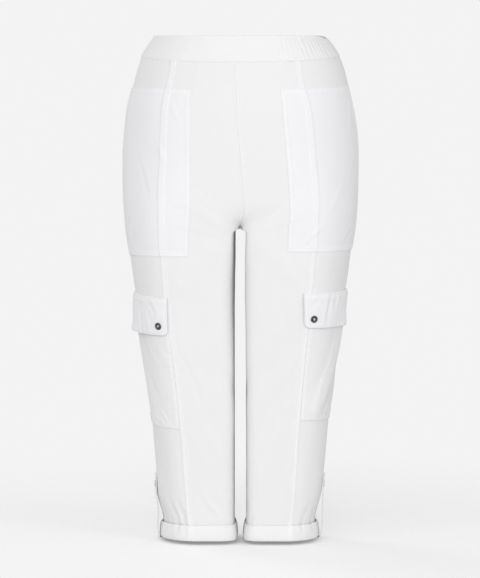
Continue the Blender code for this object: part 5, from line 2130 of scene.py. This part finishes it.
@dataclass
class RollTab:
    """The strap that is sewn inside the leg, passes round the cuff and buttons on the outside."""

    leg: Leg
    width: float = 2.2
    cloth: float = 0.13
    point: float = 1.0
    button_drop: float = 77.2
    cut: Cut = Cut((0.023, 0.225))

    def build(self) -> None:
        """Makes the strap, its stitching and its button."""
        leg, side = self.leg, self.leg.side
        path = np.array((*TAB_START, *TAB_MIDDLES[side.name], *TAB_END))
        gone = np.concatenate([[0], np.cumsum(np.hypot(*np.diff(path, axis=0).T))])
        s = np.concatenate([np.arange(0, gone[-1] - self.point, 0.22), gone[-1] - self.point * np.cos(
            np.linspace(0, math.pi / 2, 12))])
        curves = [Curve([Place(g, v) for g, v in zip(gone, column)], "value") for column in path.T]
        out, drop = (np.asarray(curve(s)) for curve in curves)
        way = unit(np.stack([np.gradient(out, s), np.gradient(drop, s)], axis=-1))
        left = np.clip(gone[-1] - s, 0, None)
        taper = np.where(left >= self.point, 1, 0.35 + 0.65 * np.sqrt(np.clip(left / self.point, 0, 1)))
        shares = np.concatenate([[-1, -0.96, -0.88], np.linspace(-0.78, 0.78, 11), [0.88, 0.96, 1]])
        arc = np.array([FORM.arc(min(float(d), 86.9)) for d in drop])
        u = 1 + side.tab_turn + (self.width / 2 * taper / arc)[:, None] * shares[None, :]
        waves = Waves(side.seed + 20)
        cup = 0.035 * (shares**2)[None, :] * ease((s / gone[-1] - 0.35) * 4)[:, None]
        wobble = 0.03 * waves(s[:, None] / 1.6, shares[None, :] * 0.8) * ease((s / gone[-1] - 0.4) * 6)[:, None]
        edge = np.minimum(1 - np.abs(shares)[None, :], np.maximum(left, 0)[:, None])
        roll = 0.05 * (1 - ease(edge / 0.08))
        sheets = []
        for half in (self.cloth / 2, -self.cloth / 2):
            bulge = half - np.sign(half) * roll * 0.8
            outs = out[:, None] - way[:, 1:] * bulge + cup + wobble
            drops = drop[:, None] + way[:, :1] * bulge
            sheets.append(leg.place(np.minimum(drops, 86.98), u, outs))
        (points, _), (inner, _) = sheets
        across = np.broadcast_to(shares[None, :] * self.width / 2, u.shape)
        along = np.broadcast_to(s[:, None], u.shape)
        layers = 2.4 + 0.6 * ease((0.3 - edge) / 0.1)
        sheet = Sheet(f"cuff_tab_{side.name}", points, unit(points - inner), across, along, layers, inner)
        sheet.build(SHELL, (f"roll_tab_{side.name}",), self.cut, Hold.FOLDED, f"cuff_{side.name}")
        stitches = Stitching(f"tab_stitching_{side.name}", length=0.22, gap=0.05)
        for edge_name in (Edge.FIRST, Edge.LAST):
            stitches.run(sheet.inset(edge_name, 0.18, (0.4, 0.5)))
        row = float(np.interp(gone[-1] - (self.button_drop - TAB_END[-1].drop), s, np.arange(len(s))))
        place, facing = sheet.sample(np.array(row), np.array((len(shares) - 1) / 2))
        down, _ = sheet.sample(np.array(row - 1), np.array((len(shares) - 1) / 2))
        TabButton(side.name, place, facing, place - down, stitches).build()
        stitches.build()


BUTTON_PROFILE = (
    (0, 0.1), (0.15, 0.1), (0.3, 0.102), (0.4, 0.11), (0.44, 0.15), (0.48, 0.185), (0.53, 0.19), (0.575, 0.165),
    (0.6, 0.11), (0.59, 0.06), (0.54, 0.035), (0.3, 0.03), (0, 0.03),
)


@dataclass
class TabButton:
    """A four-hole button with a raised rim, sewn on with crossed thread, over a worked buttonhole."""

    side: str
    place: Array
    facing: Array
    up: Array
    stitches: Stitching
    hole_at: float = 0.115  # from the middle, both ways
    hole_radius: float = 0.055
    thread_apart: float = 0.022
    hole_end: float = 0.85  # half the buttonhole's length

    def build(self) -> None:
        """Makes the button, the thread through its holes, and the worked buttonhole."""
        up = unit(self.up - self.facing * np.dot(self.up, self.facing))
        across = np.cross(up, self.facing)
        axes = np.stack([across, up, self.facing], axis=1)
        holes = [(sx * self.hole_at, sy * self.hole_at) for sx in (-1, 1) for sy in (-1, 1)]
        points, faces = self.disc(holes)
        origin = self.place + self.facing * 0.03
        piece = MAKER.add(f"button_{self.side}", points @ axes.T + origin, faces, RESIN, sharp=38)
        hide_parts(f"tab_button_{self.side}")
        sewing = Stitching(f"button_thread_{self.side}", length=0.34, gap=0.0, radius=0.02, sides=6)
        for (ax, ay), (bx, by) in ((holes[0], holes[3]), (holes[1], holes[2])):
            for nudge in (-self.thread_apart, self.thread_apart):
                ends = np.array([(ax + nudge, ay - nudge, 0.115), (bx + nudge, by - nudge, 0.115)])
                sewing.run((ends @ axes.T + origin, np.tile(self.facing, (2, 1))))
        sewing.build("button")
        for k in np.linspace(-self.hole_end, self.hole_end, 30):
            if abs(k) < 0.1:  # the button's thread passes there
                continue
            middle = np.array([0.0, k, 0.005])
            for end in (-1, 1):
                a, b = middle + (0.02 * end, 0, 0.02), middle + (0.13 * end, 0, 0.0)
                self.stitches.run((np.array([a, b]) @ axes.T + self.place, np.tile(self.facing, (2, 1))))

    def disc(self, holes: list[tuple[float, float]]) -> tuple[Array, list[list[int]]]:
        """Turns the button and bores its holes.

        Args:
            holes: Where their middles are.

        Returns:
            Its points, in cm, and the corners of its faces.
        """
        work = bmesh.new()
        loop = [work.verts.new((r, 0, h)) for r, h in BUTTON_PROFILE]
        edges = [work.edges.new(pair) for pair in zip(loop, loop[1:])]
        bmesh.ops.spin(
            work, geom=loop + edges, axis=(0, 0, 1), cent=(0, 0, 0), steps=48, angle=2 * math.pi, use_merge=True
        )
        bmesh.ops.remove_doubles(work, verts=work.verts, dist=1e-4)
        bmesh.ops.recalc_face_normals(work, faces=work.faces)
        body, cutters = self.spare(work), []
        for x, y in holes:
            bore = Matrix.Translation((x, y, 0.1))
            work = bmesh.new()
            size = {"segments": 16, "radius1": self.hole_radius, "radius2": self.hole_radius, "depth": 0.6}
            bmesh.ops.create_cone(work, cap_ends=True, matrix=bore, **size)
            cutters.append(self.spare(work))
            cut = body.modifiers.new("hole", "BOOLEAN")
            cut.object, cut.operation, cut.solver = cutters[-1], "DIFFERENCE", "EXACT"
        shown = body.evaluated_get(bpy.context.evaluated_depsgraph_get()).to_mesh()
        points = np.array([v.co for v in shown.vertices])
        order = np.lexsort(np.round(points, 5).T)  # a boolean leaves them in an order that changes from run to run
        rank = np.argsort(order)
        faces = [rank[list(p.vertices)].tolist() for p in shown.polygons]
        faces = sorted(face[face.index(min(face)):] + face[:face.index(min(face))] for face in faces)
        for spare in (body, *cutters):
            bpy.data.objects.remove(spare)
        return points[order], faces

    @staticmethod
    def spare(work: bmesh.types.BMesh) -> Object:
        """Puts a shape into the scene for a while.

        Args:
            work: The shape.

        Returns:
            Its object.
        """
        mesh = bpy.data.meshes.new("spare")
        work.to_mesh(mesh)
        work.free()
        made = bpy.data.objects.new("spare", mesh)
        bpy.context.scene.collection.objects.link(made)
        return made


@dataclass
class Waistband:
    """The pull-on waistband: a casing with an elastic inside, gathered at its sides and back."""

    legs: dict[str, Leg]
    flat_front: float = 5.6
    flat_right: float = 11.0
    ramp: float = 2.5
    gather_length: float = 0.85
    depth: float = 0.15
    sag: float = 0.75
    sag_place: float = 0.97
    sag_reach: float = 0.16
    step: float = 0.13
    sewn_at: tuple[float, float] = (0.09, 0.9)  # the rows of stitches, as shares of the way down
    levels: Array = field(default_factory=lambda: np.linspace(-0.001, 5.0, 26))

    def level(self, q: Array, drop: Array, out: Array) -> Array:
        """Points of the band.

        Args:
            q: The places around: u on the left side, and minus u on the right.
            drop: Their drops.
            out: How far out they lie, level with the ground.

        Returns:
            The points as worn.
        """
        points = np.empty(q.shape + (3,))
        for side, chosen in ((LEFT, q >= 0), (RIGHT, q < 0)):
            plain, normals = self.surface(side, np.abs(q[chosen]), drop[chosen])
            points[chosen] = as_worn(plain + normals * out[chosen][:, None])
        return points

    def surface(self, side: Side, us: Array, drops: Array) -> tuple[Array, Array]:
        """The plain surface under the band.

        Args:
            side: The side.
            us: The places around it.
            drops: Their drops.

        Returns:
            The points there, and the level directions out of them.
        """
        table = self.tables[side.name]
        rows = np.interp(drops, self.levels, np.arange(len(self.levels)))
        cols = np.clip(us, 0, 2) / 2 * (table.shape[1] - 1)
        points = cubic(table, rows, cols)
        ahead, behind = (cubic(table, rows, np.clip(cols + step, 0, table.shape[1] - 1)) for step in (2, -2))
        way = ahead - behind
        normals = np.stack([way[:, 1], -way[:, 0], np.zeros(len(way))], axis=-1) * side.sign
        middle = (cols < 3) | (cols > table.shape[1] - 4)
        normals[middle] = 0.0
        normals[middle, 1] = np.where(us[middle] < 1, -1.0, 1.0)
        return points, unit(normals)

    @cached_property
    def tables(self) -> dict[str, Array]:
        """The plain points of each side, by drop and u.

        Returns:
            A grid of points by the side's name.
        """
        us = np.linspace(0, 2, 481)
        return {
            name: np.array([leg.level(round(float(max(d, 0.0)), 4), us) for d in self.levels])
            for name, leg in self.legs.items()
        }

    def strength(self, q: Array) -> Array:
        """How much the elastic gathers the band.

        Args:
            q: The places around.

        Returns:
            0 where it is flat, and 1 where it is fully gathered.
        """
        us = np.abs(q)
        part = FORM.section(round(BAND_MIDDLE, 4), False)
        x = np.interp(np.clip(us, 0, 1) * part.along[-1], part.along, part.x)
        flat = np.where(q < 0, self.flat_right, self.flat_front)
        return np.where(us < 1, ease((x - flat) / self.ramp), 1.0)

    def gathers(self, q: Array, arc: Array, down: Array, seed: int) -> Array:
        """How far the gathers lift the casing: rounded crests with tight hollows, uneven and sometimes forked.

        Args:
            q: The places around.
            arc: Their distances along the band.
            down: Their shares of the way down it.
            seed: Which waves make them uneven.

        Returns:
            The lifts there.
        """
        waves, strength = Waves(seed), self.strength(q)
        bolder = np.where((q > 0) & (q < 1), 1.1, np.where((q < 0) & (q > -1), 0.7, 1.5))
        phase = math.pi * arc / self.gather_length + 1.9 * waves(arc / 2.7, down * 0.8) + 0.7 * waves(
            arc / 0.9, down * 1.1 + 7)
        crest = np.abs(np.cos(phase)) ** 0.7 - 0.6
        height = 0.55 + 0.45 * waves(arc / 1.6, down * 0.6 + 3)
        return self.depth * strength * bolder * height * crest

    def build(self) -> None:
        """Makes the band's front and back halves with their stitching."""
        self.half("waist_casing_front", "waistband_front", (-1.0, 1.0), Cut((0.49, 0.045)), 31)
        self.half("waist_casing_back", "waistband_back", (1.0, 3.0), Cut((0.52, 0.045)), 37)

    def half(self, name: str, node: str, ends: tuple[float, float], cut: Cut, seed: int) -> None:
        """Makes half of the band.

        Args:
            name: The piece's name.
            node: The node it replaces.
            ends: The places around of its ends.
            cut: Its flat size.
            seed: Which waves make it uneven.
        """
        length = 2 * FORM.arc(BAND_MIDDLE, ends[1] > 1)
        n = round(length / self.step)
        q, arc = np.linspace(*ends, n + 1), np.linspace(0, length, n + 1)
        q = np.where(q > 2, q - 4, q)
        rows = np.array((0, 0.008, 0.022, 0.045, 0.08, *np.linspace(0.12, 0.9, 17), 0.94, 0.965, 0.985, 1))
        lean = np.array((-0.1, -0.02, 0.025, 0.045, 0.055, *np.full(17, 0.065), 0.04, 0, -0.05, -0.12))
        q, arc = (np.broadcast_to(line, (len(rows), n + 1)) for line in (q, arc))
        down = np.broadcast_to(rows[:, None], q.shape)
        sewn = sum(np.exp(-(((down - row) / 0.022) ** 2)) for row in self.sewn_at)
        gathers = self.gathers(q, arc, down, seed)
        fade = 0.35 + 0.65 * arch(down) ** 0.6
        out = 0.06 + (lean + 0.06 * arch(rows) ** 0.5)[:, None] + gathers * fade - 0.03 * sewn
        slip = self.sag * np.exp(-(((q - self.sag_place) / self.sag_reach) ** 2)) * (1 - down)
        edge_wave = 0.03 * Waves(seed + 1)(arc / 0.8, 0.5) * self.strength(q) * (1 - down)
        drops = BAND_HEIGHT * down + slip + edge_wave
        points = self.level(q, drops, out)
        normals = unit(self.level(q, drops, out + 0.5) - points)
        inner = self.level(q, drops + 0.02, -0.2 - 0.25 * gathers * fade)
        layers = 1.9 + 0.6 * ease((0.1 - np.minimum(down, 1 - down)) / 0.02)
        sheet = Sheet(name, points, normals, arc, BAND_HEIGHT * down, layers, inner, stride=2)
        sheet.build(SHELL, (node,), cut, Hold.GATHERED, "front_R", "front_L", "back_R", "back_L")
        stitches = Stitching(f"{name}_stitching")
        cols = np.arange(n + 1.0)
        for row in self.sewn_at:
            at = float(np.interp(row, rows, np.arange(len(rows))))
            stitches.run(sheet.sample(np.full(cols.shape, at), cols))
        stitches.build()


# --- The studio ---


@dataclass
class Studio:
    """A plain pale floor, soft light and the camera at the photo's angle."""

    camera_at: tuple[float, float, float] = (0.00162, -6.0, 0.019)
    pitch: float = 0.0726
    yaw: float = 0.000416
    lens: float = 217.165
    background: float = 0.896
    ambient: float = 0.56
    aim: tuple[float, float, float] = (0.0, 0.0, -0.4)
    floor_z: float = -0.852

    def build(self) -> None:
        """Makes the camera, lights, floor and surroundings."""
        scene = bpy.context.scene
        scene.view_settings.view_transform = "Standard"
        camera = bpy.data.cameras.new("camera")
        camera.lens, camera.sensor_width, camera.sensor_fit = self.lens, 36.0, "AUTO"
        holder = bpy.data.objects.new("camera", camera)
        holder.location = self.camera_at
        holder.rotation_euler = Euler((math.pi / 2 - self.pitch, 0.0, self.yaw))
        scene.collection.objects.link(holder)
        scene.camera = holder
        self.surroundings(scene)
        self.floor()
        for name, place, size, power in (
            ("beside the camera", (0.0, -4.6, 0.4), 1.0, 37.0),
            ("front left", (-3.2, -3.2, 0.5), 1.6, 25.0),
            ("front right", (3.2, -3.2, 0.5), 1.6, 39.0),
            ("key", (-0.7, -3.4, 1.1), 1.6, 20.0),
            ("behind left", (-2.4, 2.4, 1.3), 1.4, 22.0),
            ("behind right", (1.8, 3.2, 0.9), 2.0, 10.0),
        ):
            light = bpy.data.lights.new(name, "AREA")
            light.shape, light.size, light.energy = "SQUARE", size, power
            lamp = bpy.data.objects.new(name, light)
            lamp.location = place
            lamp.rotation_euler = (Vector(self.aim) - Vector(place)).to_track_quat("-Z", "Y").to_euler()
            scene.collection.objects.link(lamp)

    def surroundings(self, scene: Scene) -> None:
        """White all round: one brightness behind the object and another for the light that it gives.

        Args:
            scene: The scene.
        """
        world = bpy.data.worlds.new("studio")
        scene.world = world
        world.use_nodes = True
        nodes = Nodes(world.node_tree)
        world.node_tree.nodes.clear()
        seen, lit, mix, out = (nodes.add(kind) for kind in ("Background", "Background", "MixShader", "OutputWorld"))
        camera_ray = nodes.add("LightPath").outputs["Is Camera Ray"]
        for source, target in (
            ((self.background, self.background, self.background, 1), seen.inputs["Color"]),
            ((1, 1, 1, 1), lit.inputs["Color"]),
            (self.ambient, lit.inputs["Strength"]),
            (camera_ray, mix.inputs[0]),
            (lit.outputs[0], mix.inputs[1]),
            (seen.outputs[0], mix.inputs[2]),
            (mix.outputs[0], out.inputs[0]),
        ):
            nodes.join(source, target)

    def floor(self) -> None:
        """A round floor that melts into the background at its edge."""
        mesh = bpy.data.meshes.new("floor")
        n, radius = 96, 1.6
        angles = [2 * math.pi * k / n for k in range(n)]
        ring = [(radius * math.cos(angle), radius * math.sin(angle), 0) for angle in angles]
        mesh.from_pydata(ring, [], [list(range(n))])
        floor = bpy.data.objects.new("floor", mesh)
        floor.location = (0, 0, self.floor_z)
        bpy.context.scene.collection.objects.link(floor)
        mesh.materials.append(PaleFloor("pale floor")())


def main() -> None:
    """Builds the garment piece by piece, and the studio round it."""
    logging.basicConfig(level=logging.INFO, format="%(name)s: %(message)s")
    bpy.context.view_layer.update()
    legs = {side.name: Leg(side) for side in (RIGHT, LEFT)}
    for leg in legs.values():
        panels = LegPanels(leg)
        panels.build()
        FrontPocket(leg, panels).build()
        CargoPocket(leg).build()
        PocketFlap(leg).build()
        Cuff(leg).build()
        RollTab(leg).build()
    Waistband(legs).build()
    Studio().build()
    bpy.context.view_layer.update()
    log.info("%d pieces, %d triangles", len(MAKER.made), MAKER.triangles)


if __name__ == "__main__":
    main()
